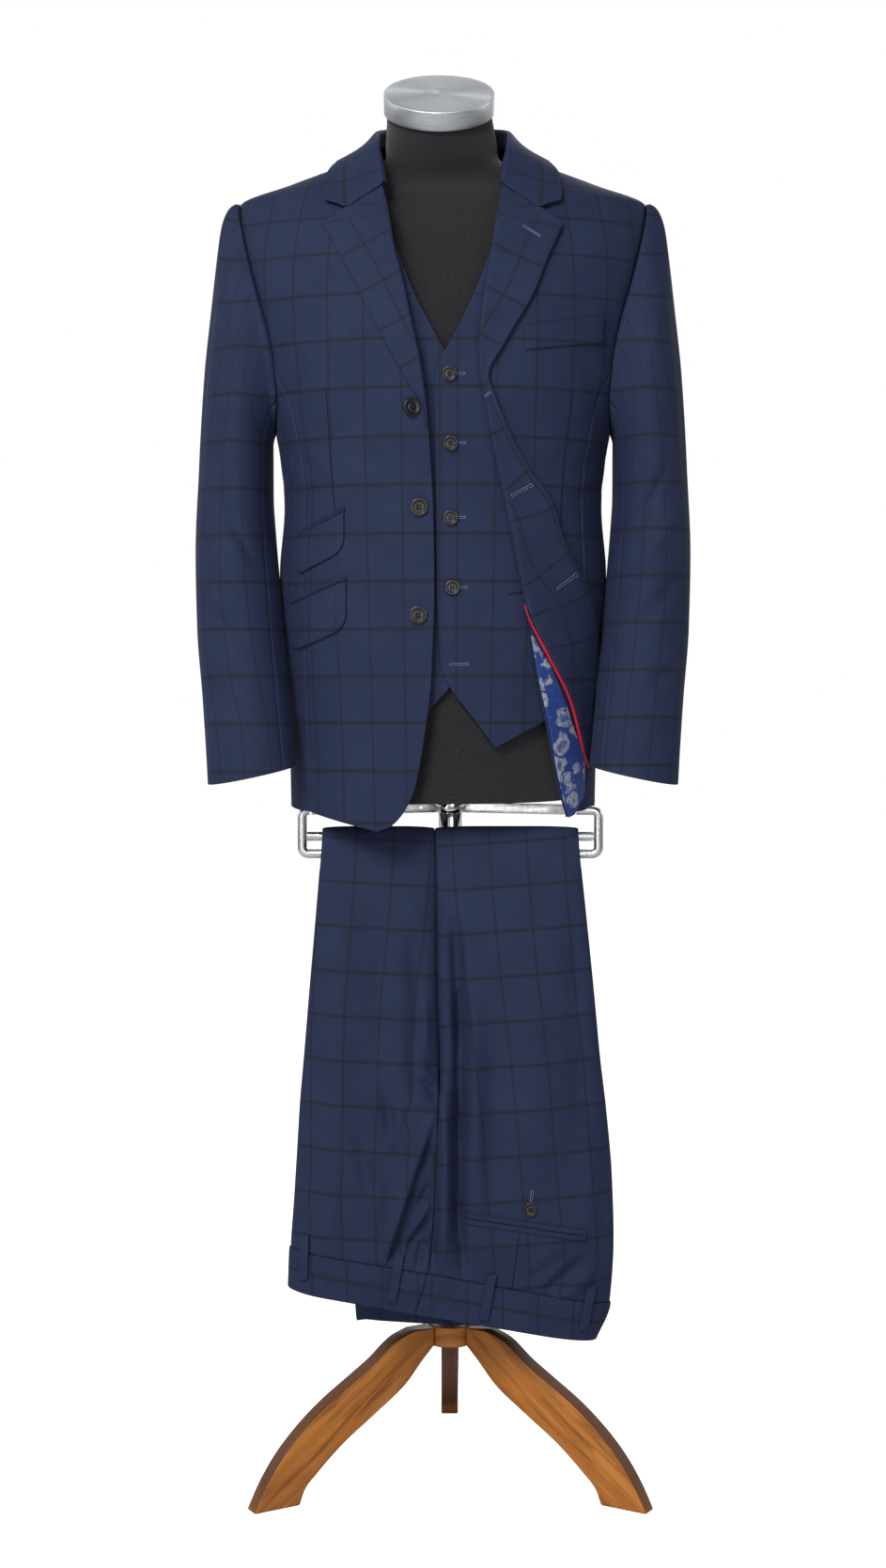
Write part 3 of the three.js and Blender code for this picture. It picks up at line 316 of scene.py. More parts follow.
def wall(name, outer, inner, uv, turned=False):
    """A closed wall between an outer and an inner grid, and its outer grid.

    Rows go up and columns to +X as seen from in front, or the other way where it is turned.
    """
    if turned:
        outer, inner, uv = outer[:, ::-1], inner[:, ::-1], uv[:, ::-1]
    rows, columns = outer.shape[:2]
    index = np.arange(rows * columns).reshape(rows, columns)
    under = index + rows * columns
    a, b, c, d = index[:-1, :-1], index[:-1, 1:], index[1:, 1:], index[1:, :-1]
    faces = [np.stack([a, b, c, d], -1).reshape(-1, 4)]
    faces.append(np.stack([a, d, c, b], -1).reshape(-1, 4) + rows * columns)

    def rim(first, second):
        line = np.stack([first[:-1], first[1:], second[1:], second[:-1]], -1)
        faces.append(line)

    rim(index[:, 0], under[:, 0])
    rim(index[::-1, -1], under[::-1, -1])
    rim(index[0, ::-1], under[0, ::-1])
    rim(index[-1, :], under[-1, :])
    points = np.concatenate([outer.reshape(-1, 3), inner.reshape(-1, 3)])
    both = np.concatenate([uv.reshape(-1, 2), uv.reshape(-1, 2)]) / 1000
    return new_object(name, metres(points), np.concatenate(faces).tolist(), both), outer


def dress(piece, finish):
    piece.data.materials.clear()
    piece.data.materials.append(finishes[finish])
    return piece


def finish_piece(piece, finish, slot, *nodes):
    """Gives a piece its finish and its body, and hides the nodes that it stands for. The slot is not
    used.
    """
    dress(piece, finish)
    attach(piece, "root")
    if nodes:
        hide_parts(*nodes)
    return piece


def declare_sheet(grid):
    """Works out the cut of what shows, its greatest width and length and its own area, but keeps none
    of them.
    """
    rows, columns = grid_lengths(grid)
    width, length = rows.max() / 1000, columns.max() / 1000
    area = min(grid_area(grid) / 1e6, width * length)
    area = max(area, 0.31 * width * length)


# ------------------------------------------------------------------ panels of the body surface
def armhole(turn):
    """The jacket's armhole on the wearer's left: turn 0 is the shoulder tip, 180 the armpit."""
    turn = np.asarray(turn, float)
    bulge = np.where(turn < 180, 18.5, 20)
    angle = 90 - bulge * np.sin(np.radians(turn)) + 3.5 * np.sin(np.radians(2 * turn))
    return np.stack([angle, mix(1163, 1408, 0.5 + 0.5 * np.cos(np.radians(turn)))])


ARMHOLE_MIDDLE = body_point(np.array(90.0), np.array(1285.5), 0.0)


def into_armhole(points):
    """The way from each point towards the armhole's middle, in the armhole's own plane."""
    return unit((ARMHOLE_MIDDLE - points) * [0, 1, 1])


def waistcoat_armhole(turn):
    turn = np.asarray(turn, float)
    bulge = np.where(turn < 180, 27, 29)
    angle = 90 - bulge * np.sin(np.radians(turn))
    return np.stack([angle, mix(1128, 1434, 0.5 + 0.5 * np.cos(np.radians(turn)))])


def straight(start, end):
    start, end = np.array(start, float), np.array(end, float)
    return lambda t: start[:, None] + (end - start)[:, None] * np.atleast_1d(t)


def one_then_other(first, second, meet):
    """Two edges joined end to end, the first up to the share where they meet."""
    def read(t):
        t = np.atleast_1d(np.asarray(t, float))
        low = first(np.minimum(t / meet, 1))
        high = second(np.clip((t - meet) / (1 - meet), 0, 1))
        return np.where(t < meet, low, high)
    return read


def along_hole(hole, start, end):
    return lambda t: hole(mix(start, end, np.asarray(t, float)))


def mirrored(edge):
    return lambda t: edge(t) * np.array([[-1], [1]])


def backwards(edge):
    return lambda t: edge(1 - np.asarray(t))


def front_edge(side, neck_z, *rows):
    """An edge given by its x and z from the front, which ends at the neck point of its side."""
    return line_through(*[(at, float(angle_at(x, z)), z) for at, x, z in rows],
                        (1, side * 90, neck_z))


def panel_grid(edges, rows, shares, out):
    """Points between four edges of the body surface, each row with its own column places."""
    left, right, bottom, top = edges
    v = np.broadcast_to(rows[:, None], shares.shape)
    ends = [mix(left(np.array([end]))[:, :, None], right(np.array([end]))[:, :, None], shares)
            for end in (0.0, 1.0)]
    low, high = (edge(shares.ravel()).reshape(2, *shares.shape) if edge else end
                 for edge, end in zip((bottom, top), ends))
    across = mix(left(rows)[:, :, None], right(rows)[:, :, None], shares)
    angle, z = mix(low, high, v) + across - mix(*ends, v)
    return body_point(angle, z, out(angle, z) if callable(out) else out), angle, z


def body_panel(name, edges, styles, out, step, up_step, creases=True):
    """A panel of the jacket's or the waistcoat's body, with the styles of its left, right, low and
    top edge."""
    left, right = edges[:2]
    probe = np.linspace(0, 1, 60)
    length = sum(walked(body_point(*edge(probe), 0.0))[-1] for edge in (left, right)) / 2
    up = places_between(length, styles[2], styles[3], up_step)
    rows = np.clip(up / length, 0, 1 - SEAM_GAP / length)
    starts, ends = skin(*left(rows)), skin(*right(rows))
    widths = np.maximum(np.linalg.norm(ends - starts, axis=-1) * 1.03, 14)
    base = places_between(np.median(widths), styles[0], styles[1], step)
    first, last = len(EDGES[styles[0]]), len(EDGES[styles[1]])
    middle = np.linspace(0, 1, len(base) - first - last + 2)
    columns = []
    for width in widths:
        near = np.array(EDGES[styles[0]]) + SEAM_GAP
        far = width - np.array(EDGES[styles[1]])[::-1] - SEAM_GAP
        even = mix(near[-1], far[0], middle)[1:-1]
        columns.append(np.concatenate([near, even, far]))
    columns = np.array(columns)
    dip = np.zeros_like(columns)
    inner_dip = np.zeros_like(columns)
    reaches = (columns - SEAM_GAP, widths[:, None] - columns - SEAM_GAP,
               np.broadcast_to(up[:, None], columns.shape),
               np.broadcast_to(length - up[:, None], columns.shape))
    for distance, style in zip(reaches, styles):
        amount = edge_dip(distance, style, CLOTH)
        dip = np.maximum(dip, amount)
        if style == "free":
            inner_dip = np.maximum(inner_dip, amount)
    shares = columns / widths[:, None]
    face, angle, z = panel_grid(edges, rows, shares, out)
    wave = body_creases(angle, z) if creases else 0.0
    normal = body_normal(angle, z)
    outer, inner = (face + normal * (wave - depth)[..., None]
                    for depth in (dip, np.maximum(CLOTH - inner_dip, dip + INNER_ROOM)))
    uv = np.stack(body_check(angle, z), -1)
    return wall(name, outer, inner, uv)


front_seam = line_through((0, 63, 757), (0.3, 64, 890), (0.6, 64.4, 1040), (0.85, 65.5, 1165),
                          (1, *armhole(116)))
back_seam = line_through((0, 113, 759), (0.6, 112, 1040), (1, *armhole(244)))
right_front_edge = front_edge(
    -1, 1466, (0, -71, 740), (0.02, -57, 745), (0.04, -43, 759), (0.07, -30, 786),
    (0.12, -20, 838), (0.2, -12, 905), (0.34, -9, 1004), (0.46, -10, 1075), (0.56, -14, 1151),
    (0.61, -17, 1190), (0.67, -21, 1223), (0.73, -29, 1263), (0.79, -42, 1320), (0.85, -50, 1352),
    (0.9, -56, 1388), (0.95, -63, 1417), (0.98, -70, 1448))
left_fold_edge = front_edge(
    1, 1466, (0, 133, 752), (0.07, 124, 782), (0.12, 117, 815), (0.2, 108, 862), (0.29, 99, 909),
    (0.36, 92, 952), (0.43, 83, 1000), (0.5, 73, 1049), (0.57, 62, 1100), (0.63, 50, 1158),
    (0.68, 41, 1205), (0.74, 37, 1250), (0.79, 41, 1290), (0.85, 50, 1345), (0.9, 56, 1388),
    (0.95, 63, 1417), (0.98, 70, 1448))
SEAM_SHARE = 0.68
front_side_edge = one_then_other(front_seam, along_hole(armhole, 116, 0), SEAM_SHARE)
back_side_edge = one_then_other(back_seam, along_hole(armhole, 244, 360), SEAM_SHARE)
jacket_back_top = one_then_other(straight(armhole(360), (90, 1466)),
                                 straight((90, 1466), (180, 1462)), 0.5)
centre_back = straight((180, 760), (180, 1462))


def on_side(side, edges):
    """The same panel's edges on the wearer's left, or mirrored on the right."""
    left, right, bottom, top = edges
    if side > 0:
        return edges
    return mirrored(right), mirrored(left), bottom, top and backwards(mirrored(top))


SIDES = ((-1, "right"), (1, "left"))
OPEN_FRONT = ("seam", "free", "free", "seam")       # edges: left, right, low and top
OPEN_LEFT_FRONT = ("free", "seam", "free", "seam")
CLOSED = ("seam", "seam", "free", "seam")


def make_jacket_body():
    rows = {"front_right": ((mirrored(front_side_edge), right_front_edge, None, None),
                            OPEN_FRONT, 3.6, 3.8),
            "front_left": ((left_fold_edge, front_side_edge, None, None),
                           OPEN_LEFT_FRONT, 3.6, 3.8)}
    for side, word in SIDES:
        edges = on_side(side, (front_seam, back_seam, None, along_hole(armhole, 116, 244)))
        rows["side_" + word] = edges, CLOSED, 4.5, 4.5
        edges = on_side(side, (back_side_edge, centre_back, None, jacket_back_top))
        rows["back_" + word] = edges, CLOSED, 4.5, 4.5
    return {"jacket_" + part: body_panel("jacket_" + part, edges, styles, 0.0, step, up_step)
            for part, (edges, styles, step, up_step) in rows.items()}


# ------------------------------------------------------------------ waistcoat
waistcoat_side = straight((91, 905), (90, 1128))
waistcoat_front_side = one_then_other(waistcoat_side, along_hole(waistcoat_armhole, 180, 0), 0.45)
waistcoat_back_side = one_then_other(waistcoat_side, along_hole(waistcoat_armhole, 180, 360), 0.45)
waistcoat_back_top = one_then_other(straight(waistcoat_armhole(360), (90, 1459)),
                                    straight((90, 1459), (180, 1456)), 0.4)
waistcoat_left_edge = front_edge(
    1, 1459, (0, 57, 829), (0.06, 33, 861), (0.12, 7, 894), (0.15, -2, 915), (0.18, -4, 935),
    (0.27, -7, 984), (0.42, -8, 1102), (0.56, -8, 1222), (0.6, -4, 1237), (0.63, 2, 1246),
    (0.7, 26, 1291), (0.79, 49, 1349), (0.87, 60, 1392), (0.94, 70, 1435))
waistcoat_right_edge = front_edge(
    -1, 1459, (0, -44, 829), (0.06, -16, 868), (0.11, 7, 893), (0.15, 18, 912), (0.18, 20, 940),
    (0.27, 20, 984), (0.42, 20, 1102), (0.54, 20, 1205), (0.58, 14, 1225), (0.63, 2, 1246),
    (0.7, -24, 1293), (0.79, -47, 1349), (0.87, -60, 1392), (0.94, -70, 1435))


def underlap(angle, _):
    """The right front passes in behind the left near the middle."""
    return mix(WAISTCOAT_OUT, UNDERLAP_OUT, ease((angle + 16) / 8))


def make_waistcoat():
    rows = {"front_right": ((mirrored(waistcoat_front_side), waistcoat_right_edge, None, None),
                            OPEN_FRONT, underlap, 4.2, 4.4),
            "front_left": ((waistcoat_left_edge, waistcoat_front_side, None, None),
                           OPEN_LEFT_FRONT, WAISTCOAT_OUT, 4.2, 4.4)}
    for side, word in SIDES:
        edges = on_side(side, (waistcoat_back_side, straight((180, 900), (180, 1456)), None,
                               waistcoat_back_top))
        rows["back_" + word] = edges, CLOSED, WAISTCOAT_OUT, 9, 10
    return {"waistcoat_" + part: body_panel("waistcoat_" + part, *row, creases=False)
            for part, row in rows.items()}


# ------------------------------------------------------------------ sleeves
SLEEVE_RINGS = (  # outerX, outerZ, innerX, innerZ, y, half depth, from the hem up
    (252, 788, 157, 808, -84, 44), (254, 820, 159.5, 832, -78, 45),
    (259, 880, 164.5, 878, -61, 48), (266, 955, 171, 940, -41, 52),
    (268, 1040, 177, 1005, -29, 58), (265, 1130, 182, 1052, -10, 65),
    (259, 1225, 184.8, 1095, -5, 70), (250, 1305, 185, 1124, -3, 72),
    (243.5, 1358, 185, 1139, -3, 71.8), (239.3, 1385, 185, 1147, -3, 70.5),
    (235, 1397.5, 185, 1152, -3, 68.5), (229.5, 1404.6, 184.8, 1156, -3, 66.5),
    (224, 1408, 184.6, 1159, -3, 65))
ring_places = walked(np.array([((ox + ix) / 2, (oz + iz) / 2, y)
                               for ox, oz, ix, iz, y, _ in SLEEVE_RINGS]))
SLEEVE_LENGTH = float(ring_places[-1])
sleeve_ring = line_through(*[(at, *ring) for at, ring in zip(ring_places, SLEEVE_RINGS)])
SLEEVE_HEAD = 9.0           # the last rise over the rolled sleeve head to the armhole seam
SLEEVE_EASE = 52.0          # how far down the sleeve its run into the armhole begins
SLEEVE_SEAM_TURN = 138.0
SLEEVE_SEAM_GAP = 0.2       # in degrees of turn
SLEEVE_DEGREE = 0.99        # a sleeve's width to one degree of turn
SLEEVE_SPREAD = 1.34        # the check's width against the sleeve's own
SLEEVE_PHASE = 16.5
SLEEVE_CHECK_LEVEL = {-1: 1104, 1: 1111}
sleeve_check_turn = {-1: line_through((800, -12), (850, -12), (900, -6), (1023, 0), (1400, 0)),
                     1: line_through((800, -5), (872, -4), (1023, 0), (1400, 0))}
# Creases in a sleeve: from turn and height, to turn and height, half width and height. Turn 0 is
# the outside of the arm, 90 its front and -90 its back.
SLEEVE_CREASES = {
    -1: ((58, 1110, 128, 1012, 8, -2.0), (30, 1060, 112, 985, 9, 1.3), (40, 985, 110, 930, 8, -1.5),
         (20, 900, 96, 862, 9, -1.2), (50, 1340, 44, 1190, 9, 1.0), (30, 1330, 28, 1120, 8, -0.9),
         (-60, 1120, -128, 1030, 9, -2.2), (-40, 1060, -112, 990, 8, 1.6),
         (-30, 960, -104, 905, 9, -1.9), (-62, 1340, -58, 1180, 10, -1.6),
         (-84, 1320, -80, 1140, 9, 1.4),
         (36, 930, 30, 800, 7, 0.9)),
    1: ((62, 1136, 118, 1052, 8, -2.0), (36, 1100, 108, 1020, 8, 1.3), (48, 1010, 116, 950, 9, -1.6),
        (24, 930, 100, 880, 8, -1.3), (52, 1330, 46, 1180, 9, 1.0), (28, 1320, 30, 1110, 8, -0.9),
        (-56, 1132, -124, 1040, 9, -2.1), (-44, 1074, -116, 1004, 8, 1.5),
        (-34, 972, -100, 912, 9, -1.8), (-60, 1334, -56, 1172, 10, -1.5),
        (-86, 1310, -78, 1150, 9, 1.4),
        (32, 940, 30, 800, 7, 0.8)),
}


def sleeve_points(side, turns, places, depth, joined=True):
    """The left sleeve's surface at turns round it and distances up it, or the right's mirrored."""
    at = np.minimum(places, SLEEVE_LENGTH)
    outer_x, outer_z, inner_x, inner_z, y, half_depth = sleeve_ring(at)
    outermost = np.stack([outer_x, y, outer_z], -1)
    innermost = np.stack([inner_x, y, inner_z], -1)
    half = (outermost - innermost) / 2
    length = np.linalg.norm(half, axis=-1)
    swell = 1.7 * crease_field(SLEEVE_CREASES[side], turns, innermost[..., 2] + 0 * turns + (
        half[..., 2] * (1 + np.cos(np.radians(turns)))))
    taper = ease(places / 26) * ease((SLEEVE_LENGTH - places) / 60)
    near = swell * taper - depth
    half = half * (1 + near / length)[..., None]
    ring = (innermost + outermost) / 2 + half * np.cos(np.radians(turns))[..., None]
    ring[..., 1] -= (half_depth + near) * np.sin(np.radians(turns))
    if not joined:
        return ring * [side, 1, 1]
    front = ease(np.abs(np.sin(np.radians(turns))) * 1.4)
    start = SLEEVE_LENGTH - SLEEVE_EASE * front
    rise = np.clip((places - start) / (SLEEVE_LENGTH + SLEEVE_HEAD - start), 0, 1)
    angle, z = armhole(turns % 360)
    edge = body_point(angle, z, 0.0)
    inward = into_armhole(edge)
    edge = edge + inward * depth[..., None] + [0.4, 0, 0]
    edge[..., 2] += 2.4 * np.exp(-(turns / 38) ** 2)
    last = np.clip((places - SLEEVE_LENGTH + 14) / (SLEEVE_HEAD + 14), 0, 1)
    roll = (np.sin(np.pi * last) ** 1.5)[..., None] * 1.9
    share = mix(rise ** 1.6, 1 - (1 - rise) ** 1.3, 0.5 * front)
    ring = mix(ring, edge, share[..., None]) - inward * roll
    return ring * [side, 1, 1]


def sleeve_part(name, side, from_turn, to_turn, step, up_step):
    turn_length = abs(to_turn - from_turn) * SLEEVE_DEGREE
    wide = places_between(turn_length, "seam", "seam", step)
    up = places_between(SLEEVE_LENGTH, "free", "plain", up_step)
    up = np.concatenate([up, SLEEVE_LENGTH + SLEEVE_HEAD * np.array([0.2, 0.4, 0.6, 0.8, 0.92, 1])])
    gap = math.copysign(SLEEVE_SEAM_GAP, from_turn - to_turn)
    turns = mix(from_turn - gap, to_turn + gap, wide / turn_length)
    turns, places = np.meshgrid(turns, up)
    across = np.broadcast_to(wide, turns.shape)
    dip = np.maximum(edge_dip(across, "seam", CLOTH), edge_dip(turn_length - across, "seam", CLOTH))
    hem = edge_dip(places, "free", CLOTH)
    head = 0.5 * ease((places - SLEEVE_LENGTH - SLEEVE_HEAD * 0.55) / (SLEEVE_HEAD * 0.45))
    dip = np.maximum(np.maximum(dip, hem), head)
    outer = sleeve_points(side, turns, places, dip)
    inner = sleeve_points(side, turns, places, np.maximum(CLOTH - hem, dip + INNER_ROOM))
    circle = np.linspace(-180, 180, 361)
    grid = np.zeros((len(up), len(circle)))
    walk = walked(sleeve_points(side, circle + grid, up[:, None] + grid, grid, joined=False), axis=1)
    walk = walk - walk[:, [270]]            # the front of the arm
    around = np.array([np.interp(row, circle, line)
                       for row, line in zip((turns + 180) % 360 - 180, walk)])
    height = outer[..., 2]
    shift = sleeve_check_turn[side](height)[0]
    loose = sleeve_points(side, turns, places, dip, joined=False)
    moved = (loose[..., 0] - outer[..., 0]) * side
    around = around + moved * np.sin(np.radians(turns)) / SLEEVE_SPREAD
    across = side * ((around + shift) * SLEEVE_SPREAD - SLEEVE_PHASE)
    rise = (height - SLEEVE_CHECK_LEVEL[side]) * 1.01
    rise = rise + 40 * ease((height - 1330) / 90) * (height - 1330) / 90 * 0.25
    rise = rise + moved * np.cos(np.radians(turns)).clip(0, 1)
    uv = np.stack([across, rise + 3 * ((around / 60) ** 2).clip(0, 1)], -1)
    return wall(name, outer, inner, uv, turned=side < 0)


def make_sleeves():
    made = {}
    turn = SLEEVE_SEAM_TURN
    for side, word in SIDES:
        for part, start, end, step, up_step in (("top_", turn, -turn, 3.4, 3.8),
                                                ("under_", 360 - turn, turn, 4.6, 4.6)):
            name = "sleeve_" + part + word
            made[name] = sleeve_part(name, side, start, end, step, up_step)
    return made


# ------------------------------------------------------------------ trousers
front_station = line_through(
    # at, leftX, leftZ, middleX, middleZ, rightX, rightZ, y, half thickness, how far the legs are one
    (0, -169, 239, -30, 214, 167, 180, -84, 26, 1), (45, -167, 284, -17, 259, 183, 222, -85, 27, 1),
    (100, -163.5, 330, -11, 312, 187, 290, -86, 28, 1),
    (165, -160, 382, -8, 375, 185, 357, -85, 27, 1),
    (235, -156, 446, -5, 440, 178, 437, -82, 24, 0.75),
    (262, -154, 468, -4, 463, 175, 462, -81, 22, 0.15),
    (285, -152, 490, -4, 487, 172, 486, -80, 21, 0), (360, -146, 560, -6, 560, 165, 558, -77, 18, 0),
    (450, -138.5, 645, -7, 645, 156, 645, -72, 13.5, 0),
    (505, -134, 700, -8, 702, 150, 702, -64, 7, 0))
rear_station = line_through(
    (0, -131, 712, -8, 712, 147, 712, -38.6, 4, 0), (60, -128, 650, -6, 650, 144, 650, -33, 8.5, 0),
    (180, -120, 530, -3, 530, 139, 530, -31, 11, 0), (360, -109, 350, 3, 350, 131, 350, -31, 11.5, 0),
    (530, -98, 188, 8, 181, 121, 179, -31, 12, 0))
FOLDED_HALF = 2.7           # half the thickness of a leg pressed flat over the rail
LEGS_APART = 0.25           # half the gap between the legs, and between a leg's two faces
RAIL_ROOM = 0.75            # between the rail and the cloth on it
WAISTBAND_TOP = 45.0
LEG_WIDTH = 165.0           # across one leg laid flat
SEAT_CREASES = (
    (13, 640, 19, 500, 7, -5.0), (19, 560, 18, 400, 7, -6.5), (18, 450, 16, 300, 7, -6.0),
    (16, 340, 22, 262, 6, -3.5), (-1, 478, 4, 370, 7, 2.6), (4, 400, 1, 268, 7, 2.6),
    (34, 560, 38, 330, 9, 1.8), (-64, 456, -50, 396, 7, -2.4), (-44, 444, -58, 392, 6, 1.8),
    (-92, 424, -79, 346, 8, -1.8), (-76, 398, -68, 326, 7, 1.4), (-36, 520, -30, 452, 7, -1.8),
    (-26, 470, -5, 452, 3.5, -2.8), (-30, 452, -8, 440, 4, 2.0), (-16, 484, -4, 468, 3, -1.6),
    (-38, 286, -15, 318, 4, -2.4), (-33, 304, -13, 338, 4, 2.0), (-29, 262, -21, 304, 3.5, -2.0),
    (-15, 356, -26, 332, 3.5, -2.0), (-12, 404, -20, 372, 4, -1.6), (-44, 272, -40, 300, 4, 1.2),
    (106, 234, 154, 278, 7, -3.0), (120, 226, 162, 262, 7, 2.2), (92, 252, 142, 288, 6, -1.2),
    (150, 300, 176, 272, 7, -1.8), (172, 352, 180, 262, 7, -2.0), (58, 540, 56, 350, 15, -1.6),
    (98, 580, 102, 360, 17, 1.5), (140, 640, 150, 380, 13, -1.5), (150, 420, 168, 330, 12, 1.4),
    (-110, 650, -118, 420, 17, 1.4), (-66, 640, -72, 480, 12, -1.3), (-32, 620, -28, 500, 9, -2.0),
    (-138, 520, -146, 330, 12, -1.4), (-120, 380, -122, 290, 10, 1.2), (-20, 560, -18, 500, 6, 1.6))
REAR_CREASES = (
    (-92, 660, -86, 300, 12, -2.2), (-60, 600, -52, 220, 13, 2.0), (-30, 640, -24, 260, 9, -1.8),
    (30, 640, 36, 240, 10, -2.0), (68, 620, 74, 230, 14, 2.2), (104, 640, 98, 260, 11, -2.0),
    (-70, 560, -100, 470, 9, -1.6), (60, 520, 112, 440, 9, -1.5))
fold_line = line_through((262, -64.5), (280, -59), (320, -46), (378, -27), (430, -9), (452, -3))


def seat_relief(x, z):
    """The drape of the seat that hangs in front, where the left back is folded over its seam."""
    relief = 2.4 * crease_field(SEAT_CREASES, x, z)
    past = x - fold_line(z)[0]
    room = np.maximum(-8 - fold_line(z)[0], 0.1)
    there = ease((z - 262) / 30) * ease((450 - z) / 24)
    recess = ease(past / 2.4) * (1 - ease((past - room + 4) / 9)) * there
    lip = np.exp(-((past + 4) / 6) ** 2) * (past < 4) * there
    deep = np.minimum(room / 34, 1)
    return relief - 12.0 * recess * deep + 2.6 * lip


def leg_place(station, side, face, u, depth):
    """A leg's cross section. u runs from the side seam to the middle, and face 1 is the back."""
    left_x, left_z, middle_x, middle_z, right_x, right_z, y, half, seat = station
    inset = side * depth
    edge_x, edge_z = (left_x, left_z) if side < 0 else (right_x, right_z)
    side_round = np.sqrt(np.maximum(1 - (1 - np.minimum(u / 0.3, 1)) ** 2, 0))
    inner_round = np.sqrt(np.maximum(1 - np.maximum((u - 0.7) / 0.3, 0) ** 2, 0))
    bulge = side_round * mix(inner_round, 1, seat)
    middle_x = middle_x + side * LEGS_APART + inset * (1 - seat)
    room = half * bulge - depth * np.minimum(bulge * 3, 1)
    return (mix(edge_x - inset, middle_x, u), y, mix(edge_z, middle_z, u),
            face * np.maximum(room, 0) + face * LEGS_APART)


def front_leg(at, side, face, u, depth, relief=True):
    x, y, z, lift = leg_place(front_station(at), side, face, u, depth)
    if relief and face > 0:
        lift = lift + seat_relief(x, z) * ease(u / 0.12) * ease((at - 40) / 14)
    return np.stack([x, y - lift, z], -1)


def resampled(rows, lengths):
    """Rows of points along a path, read again at even distances on a smooth curve through them."""
    steps = np.linalg.norm(np.diff(rows, axis=0), axis=-1).mean(axis=1)
    at = np.concatenate([[0], np.cumsum(steps)])
    slope = np.gradient(rows, at, axis=0)
    i = np.clip(np.searchsorted(at, lengths) - 1, 0, len(at) - 2)
    span = (at[i + 1] - at[i])[:, None, None]
    u = (lengths - at[i])[:, None, None] / span
    return (rows[i] * (1 + 2 * u) * (1 - u) ** 2 + slope[i] * span * u * (1 - u) ** 2
            + rows[i + 1] * u * u * (3 - 2 * u) - slope[i + 1] * span * u * u * (1 - u))


def leg_rows(side, face, columns, depth):
    """A leg's panel from the waistband up, over the rail, and down to the hem behind."""
    rows = [front_leg(np.full_like(columns, at), side, face, columns, depth)
            for at in np.concatenate([[WAISTBAND_TOP + 0.6], np.arange(49, 505, 3.0)])]
    zero = np.zeros_like(columns)
    fold = (zero - 132, zero, zero - 9, zero, zero + 148, zero, zero, zero + FOLDED_HALF, zero)
    for turn in np.radians(np.arange(-60, 61, 12.0)):
        x, _, _, lift = leg_place(fold, side, face, columns, depth)
        reach = RAIL_RADIUS + RAIL_ROOM + FOLDED_HALF + lift
        rows.append(np.stack([x, RAIL_Y + reach * math.sin(turn),
                              RAIL_UPPER_Z + reach * math.cos(turn)], -1))
    for at in np.concatenate([[0], np.arange(30, 531, 10.0)]):
        x, y, z, lift = leg_place(rear_station(zero + at), side, face, columns, depth)
        if face > 0:
            creases = crease_field(REAR_CREASES, x, z)
            lift = lift + creases * ease(columns / 0.15) * ease((z - 196) / 30)
        rows.append(np.stack([x, y + lift, z], -1))
    return np.array(rows)


def trouser_panel(name, side, face, column_steps, up_step):
    places = [0.0]
    while places[-1] < LEG_WIDTH:
        places.append(places[-1] + np.interp(places[-1], *column_steps))
    columns = np.array(places) / places[-1]
    columns = np.unique(np.concatenate([[0, 0.003, 0.008, 0.016], columns[columns > 0.02]]))
    bare = leg_rows(side, face, columns, np.zeros_like(columns))
    total = np.linalg.norm(np.diff(bare, axis=0), axis=-1).mean(axis=1).sum()
    up = places_between(total, "seam", "free", up_step)
    groove = SEAM_GROOVE * np.clip(1 - columns * LEG_WIDTH / 4, 0, 1) ** 2
    outer = resampled(leg_rows(side, face, columns, groove), up)
    inner = resampled(leg_rows(side, face, columns, np.maximum(groove + 0.2, CLOTH + 0 * groove)), up)
    hem = edge_dip(total - up, "free", CLOTH)
    waist = edge_dip(up, "seam", CLOTH)
    thick = inner - outer
    outer = outer + thick * (np.maximum(hem, waist) / CLOTH)[:, None, None]
    inner = inner - thick * (hem / CLOTH)[:, None, None]
    middle = len(columns) // 2
    walk = walked(outer, axis=1)
    walk = walk - walk[:, [middle]]
    climb = walked(resampled(bare, up))
    level = int(np.argmax(outer[:, middle, 2] > CHECK_LEVEL))
    height = climb - climb[level] + outer[level, :, 2]
    front = np.arange(len(up))[:, None] <= level
    height = np.where(front, outer[..., 2], height)
    centre_x = np.interp(height, *CENTRE_LINE)
    x = outer[:, [middle], 0] - side * walk
    phase, spacing = TROUSER_UPRIGHTS[side](height)
    across = (x - centre_x - side * phase) / spacing * CHECK_ACROSS
    level_z, spacing, tilt, level_x = TROUSER_LEVELS[side]
    rise = (height - level_z) / spacing * CHECK_UP + tilt * (x - level_x)
    uv = np.stack([across, rise], -1)
    return wall(name, outer, inner, uv, turned=(side < 0) != (face > 0))


CHECK_LEVEL = 640           # the height from which the rear half's check is counted
CENTRE_LINE = ((200, 214, 259, 312, 375, 440, 487, 560, 645, 702, 1400),
               (-34, -30, -17, -11, -8, -5, -4, -6, -7, -8, -8))
TROUSER_UPRIGHTS = {        # for each leg: height, a line's distance from the middle, and its repeat
    -1: line_through((230, 16, 36.5), (270, 20, 36.5), (380, 30, 36.5), (480, 28.5, 37.5),
                     (700, 6, 40.5), (1300, -20, 40.5)),
    1: line_through((230, 78, 38), (275, 70, 38.5), (338, 58, 38.5), (385, 52, 38.5),
                    (480, 39, 39.7), (700, 19.5, 40), (1300, 0, 40))}
TROUSER_LEVELS = {-1: (683, 48, 0.061, -112),       # a line's height, its repeat, its tilt, and the
                  1: (681, 48.4, -0.079, 109)}      # x where it has that height

TROUSER_PARTS = (           # name, face, its columns' steps from the side seam in, and its rows' step
    ("back", 1, ((0, 20, 60, 90, 120, 200), (1.2, 3.2, 3.6, 2.6, 1.9, 1.6)), 3.4),
    ("front", -1, ((0, 20, 200), (2, 6, 8)), 9))


